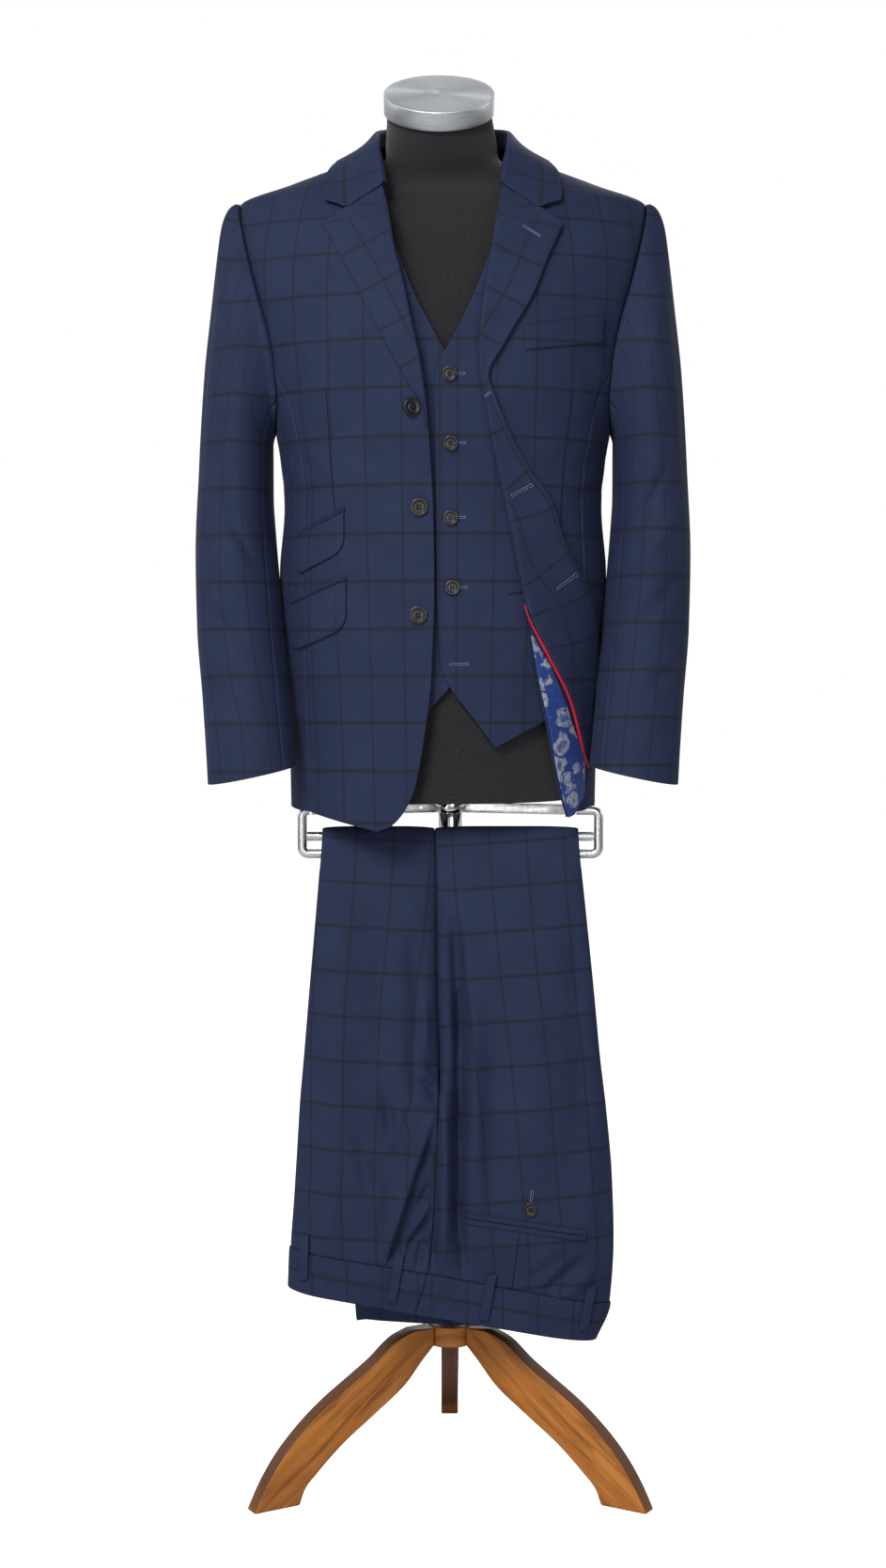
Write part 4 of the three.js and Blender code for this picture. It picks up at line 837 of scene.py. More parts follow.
def make_trousers():
    return {f"trousers_{part}_{word}": trouser_panel(f"trousers_{part}_{word}", side, *row)
            for side, word in SIDES for part, *row in TROUSER_PARTS}


# ------------------------------------------------------------------ pieces laid on the front
BEND_SHARE = 0.6
ROLL_RADIUS = 3.4           # a lapel turns over its roll line in a soft round


def laid_rows(*rows):
    """Rows of fromX, fromZ, (midX, midZ,) toX, toZ as one smooth line, with its own lengths."""
    full = []
    for row in rows:
        if len(row) == 4:
            from_x, from_z, to_x, to_z = row
            middle = mix(from_x, to_x, BEND_SHARE), mix(from_z, to_z, BEND_SHARE)
            row = (from_x, from_z, *middle, to_x, to_z)
        full.append(row)
    full = np.array(full, float)
    step = np.linalg.norm(np.diff((full[:, 0:2] + full[:, 4:6]) / 2, axis=0), axis=1)
    at = np.concatenate([[0], np.cumsum(step)])
    return line_through(*np.column_stack([at, full])), float(at[-1])


def laid_points(line, places, shares, out):
    from_x, from_z, mid_x, mid_z, to_x, to_z = line(places)
    low = np.minimum(shares / BEND_SHARE, 1)
    high = np.maximum((shares - BEND_SHARE) / (1 - BEND_SHARE), 0)
    x = np.where(shares < BEND_SHARE, mix(from_x, mid_x, low), mix(mid_x, to_x, high))
    z = np.where(shares < BEND_SHARE, mix(from_z, mid_z, low), mix(mid_z, to_z, high))
    angle = angle_at(x, z)
    return body_point(angle, z, out), angle, z


def roll_dip(distance):
    near = np.clip(1 - distance / ROLL_RADIUS, 0, 1)
    return ROLL_RADIUS * (1 - np.sqrt(np.maximum(1 - near ** 2, 0)))


def laid_piece(name, rows, out, styles, check, thickness=CLOTH, step=3.2, creases=(), lift=None):
    """A piece laid on the front: its columns run from its first edge (+X or -X) to its second."""
    line, length = rows
    up = places_between(length, styles[2], styles[3], step)
    samples = line(up)
    widths = np.maximum(np.hypot(samples[4] - samples[0], samples[5] - samples[1]), 1.2)
    start, end = np.array(EDGES[styles[0]]), np.array(EDGES[styles[1]])[::-1]
    count = max(int(np.median(widths) / step), 3)
    columns = []
    for width in widths:
        squeeze = min(1, 0.42 * width / max(start[-1], 0.1), 0.42 * width / max(end[0], 0.1))
        first, last = start * squeeze, width - end * squeeze
        even = np.linspace(first[-1], last[0], count + 1)[1:-1]
        columns.append(np.concatenate([first, even, last]))
    columns = np.array(columns)
    shares = columns / widths[:, None]
    places = np.broadcast_to(up[:, None], shares.shape)
    dip, inner_dip = np.zeros_like(shares), np.zeros_like(shares)
    reaches = (columns, widths[:, None] - columns, places, length - places)
    for distance, style in zip(reaches, styles):
        if style == "roll":
            dip = np.maximum(dip, roll_dip(distance))
        elif style == "free":
            amount = edge_dip(distance, style, thickness)
            dip, inner_dip = np.maximum(dip, amount), np.maximum(inner_dip, amount)
        elif style == "seam":
            dip = np.maximum(dip, edge_dip(distance, style, thickness))
    rise = out(shares) if callable(out) else out + 0 * shares
    _, angle, z = laid_points(line, places, shares, rise)
    x = skin(angle, z)[..., 0]
    rise = rise + crease_field(creases, x, z) + body_creases(angle, z)
    if lift is not None:
        rise = rise + lift(z)
    depth = np.maximum(thickness - inner_dip, dip + LAID_ROOM)
    outer, inner = (laid_points(line, places, shares, rise - down)[0] for down in (dip, depth))
    uv = check(SimpleNamespace(line=line, places=places, angle=angle, z=z, points=outer))
    return wall(name, outer, inner, uv, turned=samples[4][0] < samples[0][0])


def body_matched(laid):
    return np.stack(body_check(laid.angle, laid.z), -1)


def edge_grain(edge_share, inset, start_z, stretch):
    """Grain along an outer edge: the check's distance in from it, and where a cross line meets it."""
    def read(laid):
        points, places = laid.points, laid.places
        fine = np.linspace(0, places.max(), 400)
        edge = laid_points(laid.line, fine, np.full(400, float(edge_share)), np.full(400, 5.0))[0]
        walk = walked(edge)
        ahead = unit(np.gradient(edge, axis=0))
        at = places[:, 0]
        foot = np.stack([np.interp(at, fine, edge[:, k]) for k in range(3)], -1)[:, None]
        way = unit(np.stack([np.interp(at, fine, ahead[:, k]) for k in range(3)], -1))[:, None]
        along = ((points - foot) * way).sum(-1)
        off = np.sqrt(np.maximum(((points - foot) ** 2).sum(-1) - along ** 2, 0))
        zero = np.interp(start_z, edge[:, 2], walk) if edge[-1, 2] > edge[0, 2] else 0
        height = foot[..., 2]
        up = (np.interp(at, fine, walk)[:, None] + along - zero) * stretch(height)
        return np.stack([off - inset(height), up], -1)
    return read


def rolled_out(u):
    return 4.8 + 2 * np.exp(-u / 0.18) + 1.2 * ease((u - 0.55) / 0.45)


LAPEL_RIGHT_ROWS = laid_rows(
    (-16, 1167, -18.5, 1166), (-17.5, 1190, -22, 1190), (-19, 1205, -31, 1204),
    (-24, 1240, -52, 1240), (-32, 1275, -69, 1272), (-42, 1322, -92, 1318), (-50, 1352, -110, 1350),
    (-56, 1388, -124, 1377), (-63, 1417, -85, 1404.4, -122.5, 1379.5))
LAPEL_LEFT_ROWS = laid_rows(
    (155.5, 806, 158, 807), (150.5, 820, 159, 822), (134.5, 879, 161, 881), (110.5, 928, 163, 931),
    (88.5, 975, 157, 979), (73, 1049, 126, 1048), (65, 1088, 113, 1090), (58, 1120, 91, 1121),
    (50, 1158, 70, 1160), (43, 1198, 54, 1198), (38, 1221, 47, 1220), (37, 1253, 62, 1250),
    (44, 1315, 95, 1308), (50, 1349, 109, 1343), (56, 1388, 124, 1377),
    (63, 1417, 85, 1404.4, 122.5, 1379.5))
LINING_ROWS = laid_rows(
    (133.5, 752, 140, 755), (128, 770, 151, 779), (120, 805, 151, 808), (110.5, 857, 138, 850),
    (100, 905, 118, 905), (92, 950, 94, 948))
FACING_CREASES = (
    (112, 1008, 158, 968, 5, -0.9), (104, 984, 150, 940, 6, -1.1), (120, 972, 160, 932, 5, 0.8),
    (128, 930, 160, 890, 6, -0.9), (84, 1052, 120, 1040, 8, -0.7), (74, 1098, 104, 1078, 7, -0.5),
    (70, 1340, 104, 1330, 12, 0.6), (52, 1290, 74, 1270, 7, -0.7))
RIGHT_LAPEL_CREASES = (
    (-60, 1345, -104, 1336, 12, 0.6), (-34, 1280, -62, 1268, 8, -0.6), (-22, 1216, -40, 1222, 6, 0.8))


def turned_edge_lift(z):
    """The turned-back edge stands off a little in waves where nothing holds it."""
    return 0.9 * np.sin((z - 930) / 46) * ease((1190 - z) / 60) * ease((z - 820) / 40)


def plain_cloth_uv(laid):
    return np.stack([laid.points[..., 0], laid.places], -1)


def make_lapels():
    made = {}
    made["lapel_right"] = laid_piece(
        "lapel_right", LAPEL_RIGHT_ROWS, rolled_out, ("roll", "free", "free", "free"),
        edge_grain(1, lambda z: 27 + 0 * z, 1342, lambda z: 1.14 + 0 * z),
        creases=RIGHT_LAPEL_CREASES, step=2.8)
    made["lapel_facing_left"] = laid_piece(
        "lapel_facing_left", LAPEL_LEFT_ROWS, rolled_out, ("roll", "free", "free", "free"),
        edge_grain(1, lambda z: mix(5, 27, ease((z - 1190) / 70)), 1123,
                   lambda z: mix(1, 1.07, ease((z - 1190) / 70))),
        creases=FACING_CREASES, lift=turned_edge_lift, step=2.8)
    made["facing_lining_left"] = laid_piece(
        "facing_lining_left", LINING_ROWS, 3.2, ALL_FREE, plain_cloth_uv, step=3)
    return made


# ------------------------------------------------------------------ pockets on the fronts
FLAP_OUT = 3.0              # how far a flap's face stands off the front
WELT_OUT = 2.8
JET_OUT = 2.4
JET_WALL = 1.6


def pocket_flap(name, from_x, from_z, to_x, to_z, drop, radius):
    """A flap with round lower corners, pressed flat, hanging from a slanting mouth."""
    slope = (to_z - from_z) / (to_x - from_x)
    near = np.array(FREE_EDGE)
    up = np.concatenate([near, np.linspace(3.4, drop - radius * 0.2, 16), [drop - 1.4, drop]])
    below = np.clip((radius - up) / radius, 0, 1)
    cut = radius * (1 - np.sqrt(1 - below ** 2))
    x = np.array([np.concatenate([first + near, np.linspace(first + 4, last - 4, 19),
                                  (last - near)[::-1]])
                  for first, last in zip(from_x + cut, to_x - cut)])
    rim = np.minimum(x - x[:, [0]], x[:, [-1]] - x)
    z = from_z + (x - from_x) * slope - drop + up[:, None]
    dip = np.maximum(edge_dip(rim, "free", CLOTH), edge_dip(up[:, None] + 0 * x, "free", CLOTH))
    angle = angle_at(x, z)
    stitch = -0.35 * np.exp(-((np.minimum(rim, up[:, None]) - 2.6) / 0.9) ** 2)
    rise = (FLAP_OUT + body_creases(angle, z) + stitch
            + 0.7 * np.sin(np.pi * (x - from_x) / (to_x - from_x)))
    outer = body_point(angle, z, rise - dip)
    inner = body_point(angle, z, rise - np.maximum(CLOTH - dip, dip + LAID_ROOM))
    return wall(name, outer, inner, np.stack(body_check(angle, z), -1))


ALL_FREE = ("free",) * 4


def pocket_strip(name, low, high, out, thickness, step):
    return laid_piece(name, laid_rows(low, high), out, ALL_FREE, body_matched, thickness, step)


POCKETS = {     # a flap: its mouth as fromX, fromZ, toX, toZ, then its drop and its corners' radius
                # a strip: its two edges, how far out it lies, its thickness and its points' step
    "breast_welt": (pocket_strip, (85.5, 1246, 168.5, 1256), (84.5, 1270, 169, 1283),
                    WELT_OUT, CLOTH, 3),
    "ticket_flap": (pocket_flap, -157, 1050, -104, 1078, 40, 12),
    "hip_flap_right": (pocket_flap, -163, 978, -102, 1006, 50, 14),
    "ticket_jet": (pocket_strip, (-157, 1051, -103, 1079.5), (-157, 1056, -103, 1084.5),
                   JET_OUT, JET_WALL, 2.4),
    "hip_jet_right": (pocket_strip, (-163, 979, -101, 1007.5), (-163, 984, -101, 1012.5),
                      JET_OUT, JET_WALL, 2.4),
    "waistcoat_welt_left": (pocket_strip, (70, 992, 140, 1002), (71, 1014, 140, 1024),
                            WAISTCOAT_OUT + 2.6, CLOTH, 3.4)}


def make_pockets():
    return {name: make(name, *row) for name, (make, *row) in POCKETS.items()}


# ------------------------------------------------------------------ collar
collar_line = line_through(  # at, seam x y z, fold x y z, edge angle and z
    (0, 60, -71, 1421, 63.5, -81, 1423, 59, 1409), (1, 62, -56, 1437, 68, -61, 1447, 69, 1428),
    (2, 67, -30, 1457, 71, -34, 1469, 84, 1448), (3, 70, 4, 1470, 72.5, 4, 1485, 100, 1452),
    (4, 60, 42, 1474, 62, 46, 1495, 125, 1449), (5, 33, 64, 1472, 35, 70, 1499, 152, 1447),
    (6, 0, 70, 1471, 0, 77, 1500, 180, 1446))


COLLAR_GORGE = (            # the leaf's lines from its edge in, and x and z of each one's gorge end
    (0, 123, 1401), (1, 111.5, 1397.2), (2, 99.3, 1393), (3, 88.5, 1400.5), (4, 75.5, 1409))
COLLAR_CHECK = (-27, -19)   # where the check starts, along the collar and up it


def make_collar():
    half = np.concatenate([[0, 0.006, 0.02, 0.05, 0.12], np.linspace(0.2, 6, 56)])
    at = np.concatenate([half, half[-2::-1]])
    side = np.concatenate([-np.ones(len(half)), np.ones(len(half) - 1)])
    row = collar_line(at)
    edge = body_point(row[6], row[7], 5.0)
    seam, fold = np.stack(row[0:3], -1), np.stack(row[3:6], -1)
    outward = unit((edge - seam) * [1, 1, 0])
    full = (0.1 + 0.9 * ease(at / 1.4))[:, None]       # the leaf lies flat at the gorge seam
    brow = fold + outward * (1.7 * full) - [0, 0, 1.5]
    middle = mix(fold, edge, 0.45) - outward * (1.2 * full)
    lines = [mix(edge, middle, t) + outward * (0.3 * math.sin(math.pi * t) * full)
             for t in (0, 0.3, 0.65)]
    lines += [middle, mix(middle, brow, 0.5) - outward * (0.3 * full), brow, fold,
              mix(fold, seam, 0.5), seam]
    for line, x, z in COLLAR_GORGE:
        gorge = body_point(angle_at(np.array(float(x)), np.array(float(z))), np.array(float(z)), 5.2)
        lines[line] = lines[line] + np.exp(-(at / 0.5) ** 1.5)[:, None] * (gorge - lines[line][0])
    rows = np.array(lines) * np.stack([side, 0 * side + 1, 0 * side + 1], -1)
    total = np.linalg.norm(np.diff(rows, axis=0), axis=-1).mean(axis=1).sum()
    up = places_between(total, "free", "plain", 2.6)
    grid = resampled(rows, up)
    across = np.gradient(grid, axis=1)
    rise = np.gradient(grid, axis=0)
    normal = unit(np.cross(across, rise))
    ends = walked(grid[0])
    rim = np.minimum(ends, ends[-1] - ends)[None, :] + 0 * grid[..., 0]
    dip = np.maximum(edge_dip(up[:, None] + 0 * rim, "free", CLOTH), edge_dip(rim, "free", CLOTH))
    outer = grid - normal * dip[..., None]
    inner = grid - normal * np.maximum(CLOTH - dip, dip + INNER_ROOM)[..., None]
    walk = np.minimum(ends, ends[-1] - ends)
    uv = np.stack([walk + 0 * rim, up[:, None] + 0 * rim], -1) + COLLAR_CHECK
    return {"jacket_collar": wall("jacket_collar", outer, inner, uv)}


# ------------------------------------------------------------------ waistband, loops, back pocket
def seat_place(x, z, out):
    """The place on the trousers' back at this x and z, moved out towards the front."""
    x, z = np.broadcast_arrays(np.asarray(x, float), np.asarray(z, float))
    side = np.where(x > -12, 1, -1)

    def point(at):
        row = front_station(at)
        edge = np.where(side > 0, row[4], row[0])
        share = np.clip((edge - x) / (edge - row[2]), 0, 1)
        left = front_leg(at, -1, 1, share, 0 * share)
        right = front_leg(at, 1, 1, share, 0 * share)
        return np.where((side > 0)[..., None], right, left)

    low, high = np.zeros(x.shape), np.full(x.shape, 285.0)
    for _ in range(26):
        half = (low + high) / 2
        under = point(half)[..., 2] < z
        low, high = np.where(under, half, low), np.where(under, high, half)
    y = point(low)[..., 1]
    return np.stack([x, y - out, z], -1)


def strip_on_seat(name, rows, out, thickness, columns):
    """A small strip sewn on the seat: rows of leftX, leftZ, rightX, rightZ, from its lower end up."""
    rows = np.array(rows, float)
    share = np.array(columns)
    width = math.hypot(rows[0][2] - rows[0][0], rows[0][3] - rows[0][1])
    length = math.hypot(rows[-1][0] - rows[0][0], rows[-1][1] - rows[0][1])
    up = places_between(length, "free", "free", 2.4)
    at = np.linspace(0, length, len(rows))
    left_x, left_z, right_x, right_z = (np.interp(up, at, rows[:, k])[:, None] for k in range(4))
    x, z = mix(left_x, right_x, share), mix(left_z, right_z, share)
    rim = np.minimum(share, 1 - share)[None, :] * width + 0 * x
    rim = np.minimum(rim, np.minimum(up, length - up)[:, None])
    dip = edge_dip(rim, "free", thickness)
    lift = out(up[:, None] / length) if callable(out) else out
    stitch = -0.3 * np.exp(-((rim - 2.2) / 0.7) ** 2)
    base = seat_place(x, z, 0.0)
    outer = base - np.stack([0 * x, lift + stitch - dip, 0 * x], -1)
    inner = base - np.stack([0 * x, lift - np.maximum(thickness - dip, dip + INNER_ROOM), 0 * x], -1)
    uv = np.stack([x + 17, z * 0 + up[:, None] + 15], -1)
    return wall(name, outer, inner, uv)


BELT_LOOPS = (              # topX, topZ, bottomX, bottomZ
    (-150, 302, -151.5, 252), (-47, 281, -56, 228), (53, 260, 44, 209), (161, 246, 152, 196))
LOOP_HALF = 5.2
LOOP_COLUMNS = (0, 0.02, 0.06, 0.12, 0.22, 0.36, 0.5, 0.64, 0.78, 0.88, 0.94, 0.98, 1)
JET_COLUMNS = tuple(np.concatenate([[0, 0.001, 0.004, 0.009], np.linspace(0.02, 0.98, 40),
                                    [0.991, 0.996, 0.999, 1]]))


BAND_WALL = 2.8
BAND_OUT = 0.6              # how far the band's face stands off the cloth below it


def make_waistband():
    made = {}
    bend = 0.3 * (1 - np.cos(np.linspace(0, math.pi / 2, 16)))
    shares = np.concatenate([bend, np.linspace(0.3, 1, 34)[1:]])
    for side, word in SIDES:
        u = np.concatenate([shares[::-1], shares[1:]])
        face = np.concatenate([np.ones(len(shares) - 1), [0], -np.ones(len(shares) - 1)])
        up = places_between(WAISTBAND_TOP, "free", "seam", 3.2)

        def ring(at, depth):
            depth = np.broadcast_to(depth, u.shape)
            back = front_leg(np.full_like(u, at), side, 1, u, depth, relief=False)
            front = front_leg(np.full_like(u, at), side, -1, u, depth, relief=False)
            middle = (back + front) / 2
            points = np.where((face > 0)[:, None], back, front)
            return np.where((face == 0)[:, None], middle, points)

        outer, inner = [], []
        for at in up:
            dip = max(float(edge_dip(np.array(at), "free", BAND_WALL)),
                      float(edge_dip(np.array(WAISTBAND_TOP - at), "seam", BAND_WALL)) * 0.7)
            outer.append(ring(at, dip - BAND_OUT))
            depth = max(BAND_WALL - (dip if at < 4 else 0), dip + LAID_ROOM)
            inner.append(ring(at, depth - BAND_OUT))
        outer, inner = np.array(outer), np.array(inner)
        walk = walked(outer, axis=1)
        across = outer[:, [0], 0] + side * walk
        uv = np.stack([across + (27 if side < 0 else 12), up[:, None] - 23 + 0 * walk], -1)
        name = "waistband_" + word
        made[name] = wall(name, outer, inner, uv, turned=side < 0)
    for i, (top_x, top_z, bottom_x, bottom_z) in enumerate(BELT_LOOPS):
        rows = []
        for t in (0, 1):
            x, z = mix(bottom_x, top_x, t), mix(bottom_z, top_z, t)
            rows.append((x - LOOP_HALF, z - LOOP_HALF * 0.12, x + LOOP_HALF, z + LOOP_HALF * 0.12))
        name = f"belt_loop_{i + 1}"
        made[name] = strip_on_seat(name, rows, lambda t: 3.4 + 1.2 * np.sin(np.pi * t) ** 0.5,
                                   1.8, LOOP_COLUMNS)
    for name, rise in (("back_pocket_jet_upper", 6.4), ("back_pocket_jet_lower", 0)):
        rows = [(24, 316 + rise + h, 155, 296 + rise + h) for h in (0, 5.6)]
        made[name] = strip_on_seat(name, rows, 2.2, JET_WALL, JET_COLUMNS)
    return made


# ------------------------------------------------------------------ hard pieces, modelled one by one
def clear_selection():
    if bpy.context.object and bpy.context.object.mode != "OBJECT":
        bpy.ops.object.mode_set(mode="OBJECT")
    bpy.ops.object.select_all(action="DESELECT")


def only(piece):
    clear_selection()
    piece.select_set(True)
    bpy.context.view_layer.objects.active = piece
    return piece


def take_modifiers(piece):
    only(piece)
    for modifier in list(piece.modifiers):
        bpy.ops.object.modifier_apply(modifier=modifier.name)
    return piece


def settle(piece):
    """The piece's place goes into its mesh, and its object to the origin."""
    only(piece)
    bpy.ops.object.transform_apply(location=True, rotation=True, scale=True)
    return piece


def soften(piece, width, segments=3, angle=35):
    bevel = piece.modifiers.new("edges", "BEVEL")
    bevel.width = width / 1000
    bevel.segments = segments
    bevel.limit_method = "ANGLE"
    bevel.angle_limit = math.radians(angle)
    take_modifiers(piece)
    smooth_below(piece, 40)
    return piece


def round_bar(sides, radius, depth, place=(0, 0, 0), **settings):
    """A cylinder on Z, its sizes in metres."""
    clear_selection()
    bpy.ops.mesh.primitive_cylinder_add(vertices=sides, radius=radius, depth=depth, location=place,
                                        **settings)
    return bpy.context.object


def cylinder(name, radius, depth, centre, fill="NGON"):
    """A cylinder standing on Z, its sizes in millimetres about the stand."""
    piece = round_bar(96, radius / 1000, depth / 1000, metres(centre), end_fill_type=fill)
    piece.name = name
    return piece


def face_pick(piece, test):
    """Goes into edit mode with only the faces that pass the test selected."""
    only(piece)
    bpy.ops.object.mode_set(mode="EDIT")
    bpy.ops.mesh.select_mode(type="FACE")
    bpy.ops.mesh.select_all(action="DESELECT")
    shape = bmesh.from_edit_mesh(piece.data)
    for face in shape.faces:
        face.select = test(face)
    bmesh.update_edit_mesh(piece.data)


def face_outwards(piece, merge=False):
    """Turns every face outwards, after joining points that lie on each other if asked."""
    face_pick(piece, lambda _: True)
    bpy.ops.mesh.select_all(action="SELECT")
    if merge:
        bpy.ops.mesh.remove_doubles(threshold=1e-6)
    bpy.ops.mesh.normals_make_consistent(inside=False)
    bpy.ops.object.mode_set(mode="OBJECT")


def smooth_below(piece, angle):
    only(piece)
    bpy.ops.object.shade_smooth_by_angle(angle=math.radians(angle))


def cut_away(piece, cutter):
    boolean = piece.modifiers.new("cut", "BOOLEAN")
    boolean.operation = "DIFFERENCE"
    boolean.solver = "EXACT"
    boolean.object = cutter
    take_modifiers(piece)
    bpy.data.objects.remove(cutter)


def join(pieces):
    only(pieces[0])
    for piece in pieces[1:]:
        piece.select_set(True)
    bpy.ops.object.join()
    return bpy.context.object


def tube(name, points, radius, closed=False, taper=None, sides=6):
    """A round tube along a line of points in millimetres about the stand."""
    curve = bpy.data.curves.new(name, "CURVE")
    curve.dimensions = "3D"
    curve.bevel_depth = radius / 1000
    curve.bevel_resolution = sides
    curve.use_fill_caps = True
    spline = curve.splines.new("POLY")
    places = metres(points)
    spline.points.add(len(places) - 1)
    for i, place in enumerate(places):
        spline.points[i].co = (*place, 1)
        spline.points[i].radius = 1 if taper is None else taper[i]
    spline.use_cyclic_u = closed
    piece = bpy.data.objects.new(name, curve)
    bpy.context.scene.collection.objects.link(piece)
    only(piece)
    bpy.ops.object.convert(target="MESH")
    piece = bpy.context.object
    face_outwards(piece, merge=True)
    smooth_below(piece, 50)
    return piece


def rounded_line(corners, radius, steps=8):
    """A line through corners, each one turned in a round bend."""
    corners = [np.array(c, float) for c in corners]
    points = [corners[0]]
    for before, corner, after in zip(corners, corners[1:], corners[2:]):
        start = corner + unit(before - corner) * radius
        end = corner + unit(after - corner) * radius
        for t in np.linspace(0, 1, steps):
            points.append((1 - t) ** 2 * start + 2 * t * (1 - t) * corner + t * t * end)
    points.append(corners[-1])
    return np.array(points)


BUTTON_DEPTH = 0.003
FACING_FRONT = (math.pi / 2, 0, 0)
BUTTON_STEPS = (            # from the rim inwards: share of the radius, and rise in millimetres
    (0.07, 0.4), (0.20, 0), (0.09, -1.2), (0.18, -0.2), (0.06, 0.18))
BUTTON_MODELS = (           # name and radius
    ("jacket_button_model", 9.5), ("waistcoat_button_model", 8.0), ("pocket_button_model", 7.5))
WAISTCOAT_BUTTONS = ((7, 1221), (8, 1149), (8, 1072), (10, 999))     # x and z
JACKET_BUTTONS = (          # x and z, and how they lean across and up
    (-32, 1187, 0.42, 0.10), (-25, 1083, 0.10, -0.02), (-26, 970, 0.06, 0.02))


def model_button(name, radius):
    """A turned button: a raised rim, a dish and four holes, with the sewing thread across them."""
    size = radius / 1000
    button = round_bar(48, size, BUTTON_DEPTH, (0, 0, BUTTON_DEPTH / 2))
    face_pick(button, lambda face: face.normal.z > 0.9)
    for inset, rise in BUTTON_STEPS:
        bpy.ops.mesh.inset(thickness=size * inset)
        if rise:
            bpy.ops.transform.translate(value=(0, 0, rise / 1000))
    bpy.ops.object.mode_set(mode="OBJECT")
    soften(button, 0.28, 2, 20)
    reach = size * 0.22
    cutters = [round_bar(14, size * 0.115, 0.009, (reach * math.cos(turn), reach * math.sin(turn),
                                                   BUTTON_DEPTH / 2))
               for turn in np.radians((45, 135, 225, 315))]
    cut_away(button, join(cutters))
    dress(button, "button")
    threads = [settle(round_bar(8, size * 0.045, size * 0.40,
                                (x * size * 0.155 + y * size * 0.09, 0, BUTTON_DEPTH * 0.75),
                                rotation=FACING_FRONT))
               for x in (-1, 1) for y in (-0.3, 0.3)]
    thread = dress(soften(join(threads), 0.12, 1), "thread_dark")
    piece = join([button, thread])
    piece.name = name
    smooth_below(piece, 38)
    return piece


def sewn_button(name, model, place, ahead, node):
    piece = bpy.data.objects.new(name, model.data.copy())
    bpy.context.scene.collection.objects.link(piece)
    turn = Vector((0, 0, 1)).rotation_difference(Vector(ahead))
    piece.rotation_mode = "QUATERNION"
    piece.rotation_quaternion = turn
    piece.location = metres(place)
    settle(piece)
    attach(piece, "root")
    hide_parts(node)
    return piece


def front_place(x, z, out):
    """A place on the front and the way that it faces."""
    angle, height = np.array(float(angle_at(x, z))), np.array(float(z))
    return body_point(angle, height, out), body_normal(angle, height)


def make_buttons():
    jacket, waistcoat, pocket = models = [model_button(*row) for row in BUTTON_MODELS]
    for i, (x, z, lean, rise) in enumerate(JACKET_BUTTONS, 1):
        place, normal = front_place(x, z, 1.4 + 2.4 * lean)
        sewn_button(f"jacket_front_button_{i}", jacket, place, normal + [lean, 0, rise],
                    f"jacket_button_{i}")
    for i, (x, z) in enumerate(WAISTCOAT_BUTTONS, 1):
        place, normal = front_place(x, z, WAISTCOAT_OUT + 1.4)
        sewn_button(f"waistcoat_front_button_{i}", waistcoat, place,
                    normal + [0.02 * (i - 2.5), 0, 0.03], f"waistcoat_button_{i}")
    sewn_button("back_pocket_sewn_button", pocket, seat_place(94, 331, 1.0), (0.03, -1, 0.05),
                "back_pocket_button")
    for model in models:
        bpy.data.objects.remove(model)


# ------------------------------------------------------------------ buttonholes and stitching
def make_buttonhole(name, points_at, start, end, half_width, radius, eyelet):
    """A worked buttonhole: a ring of thread round its slot, with a round eye at its end, and a dark
    tube in the slot as painted shade.
    """
    start, end = np.array(start, float), np.array(end, float)
    ahead = (end - start) / np.linalg.norm(end - start)
    across = np.array([-ahead[1], ahead[0]])
    line = [start + across * half_width, start - across * half_width]
    line.append(end - across * half_width)
    turns = np.linspace(-90, 90, 9)
    eye = half_width * (1.7 if eyelet else 1.0)
    for turn in turns:
        line.append(end + ahead * (eye * math.cos(math.radians(turn)) + (eye if eyelet else 0) * 0.6)
                    + across * eye * math.sin(math.radians(turn)))
    line.append(end + across * half_width)
    line = np.array(line)
    points = points_at(line[:, 0], line[:, 1], 0.35)
    ring = tube(name, points, radius, closed=True, sides=3)
    finish_piece(ring, "thread", "cloth")
    # the slot's dark tube is painted shade of the opening, in the dark thread finish
    slot_ends = np.array([start + ahead * 0.8, end + ahead * (eye * 0.7 if eyelet else -0.8)])
    steps = np.linspace(0, 1, 8)[:, None]
    middle = slot_ends[0] * (1 - steps) + slot_ends[1] * steps
    taper = [0.7, 0.85, 0.85, 0.85, 0.85, 0.9] + ([1.3, 1.1] if eyelet else [0.9, 0.6])
    slit = tube(name + "_slit", points_at(middle[:, 0], middle[:, 1], 0.1), half_width * 0.62,
                sides=3, taper=taper)
    finish_piece(slit, "thread_dark", "cloth")


def on_body(base):
    def read(x, z, out):
        angle = angle_at(np.asarray(x, float), np.asarray(z, float))
        return body_point(angle, np.asarray(z, float), base + out + body_creases(angle, z))
    return read


def on_facing(x, z, out):
    return on_body(5.35)(x, z, out + turned_edge_lift(z))


def on_seat(x, z, out):
    return seat_place(x, z, out + 0.3)


BUTTONHOLES = {     # what it is on, its two ends as x and z, half width, thread, and if it has an eye
    "facing_upper": (on_facing, (71, 1095), (89.5, 1105), 1.15, 0.42, True),
    "facing_lower": (on_facing, (118, 997), (136, 1010.5), 1.15, 0.42, True),
    "facing_top": (on_facing, (43.4, 1197.6), (46.5, 1200.5), 0.8, 0.4, True),
    "lapel": (on_body(6.0), (83, 1372.5), (99.5, 1362), 0.75, 0.4, False),
    **{f"waistcoat_{i}": (on_body(WAISTCOAT_OUT), (x + 6, z), (x + 15.5, z + 0.4), 0.9, 0.36, False)
       for i, (x, z) in enumerate(WAISTCOAT_BUTTONS, 1)},
    "waistcoat_5": (on_body(WAISTCOAT_OUT), (7.5, 918), (25, 918.3), 0.95, 0.38, True),
    "back_pocket": (on_seat, (94.5, 338), (96, 351), 1.1, 0.45, False)}


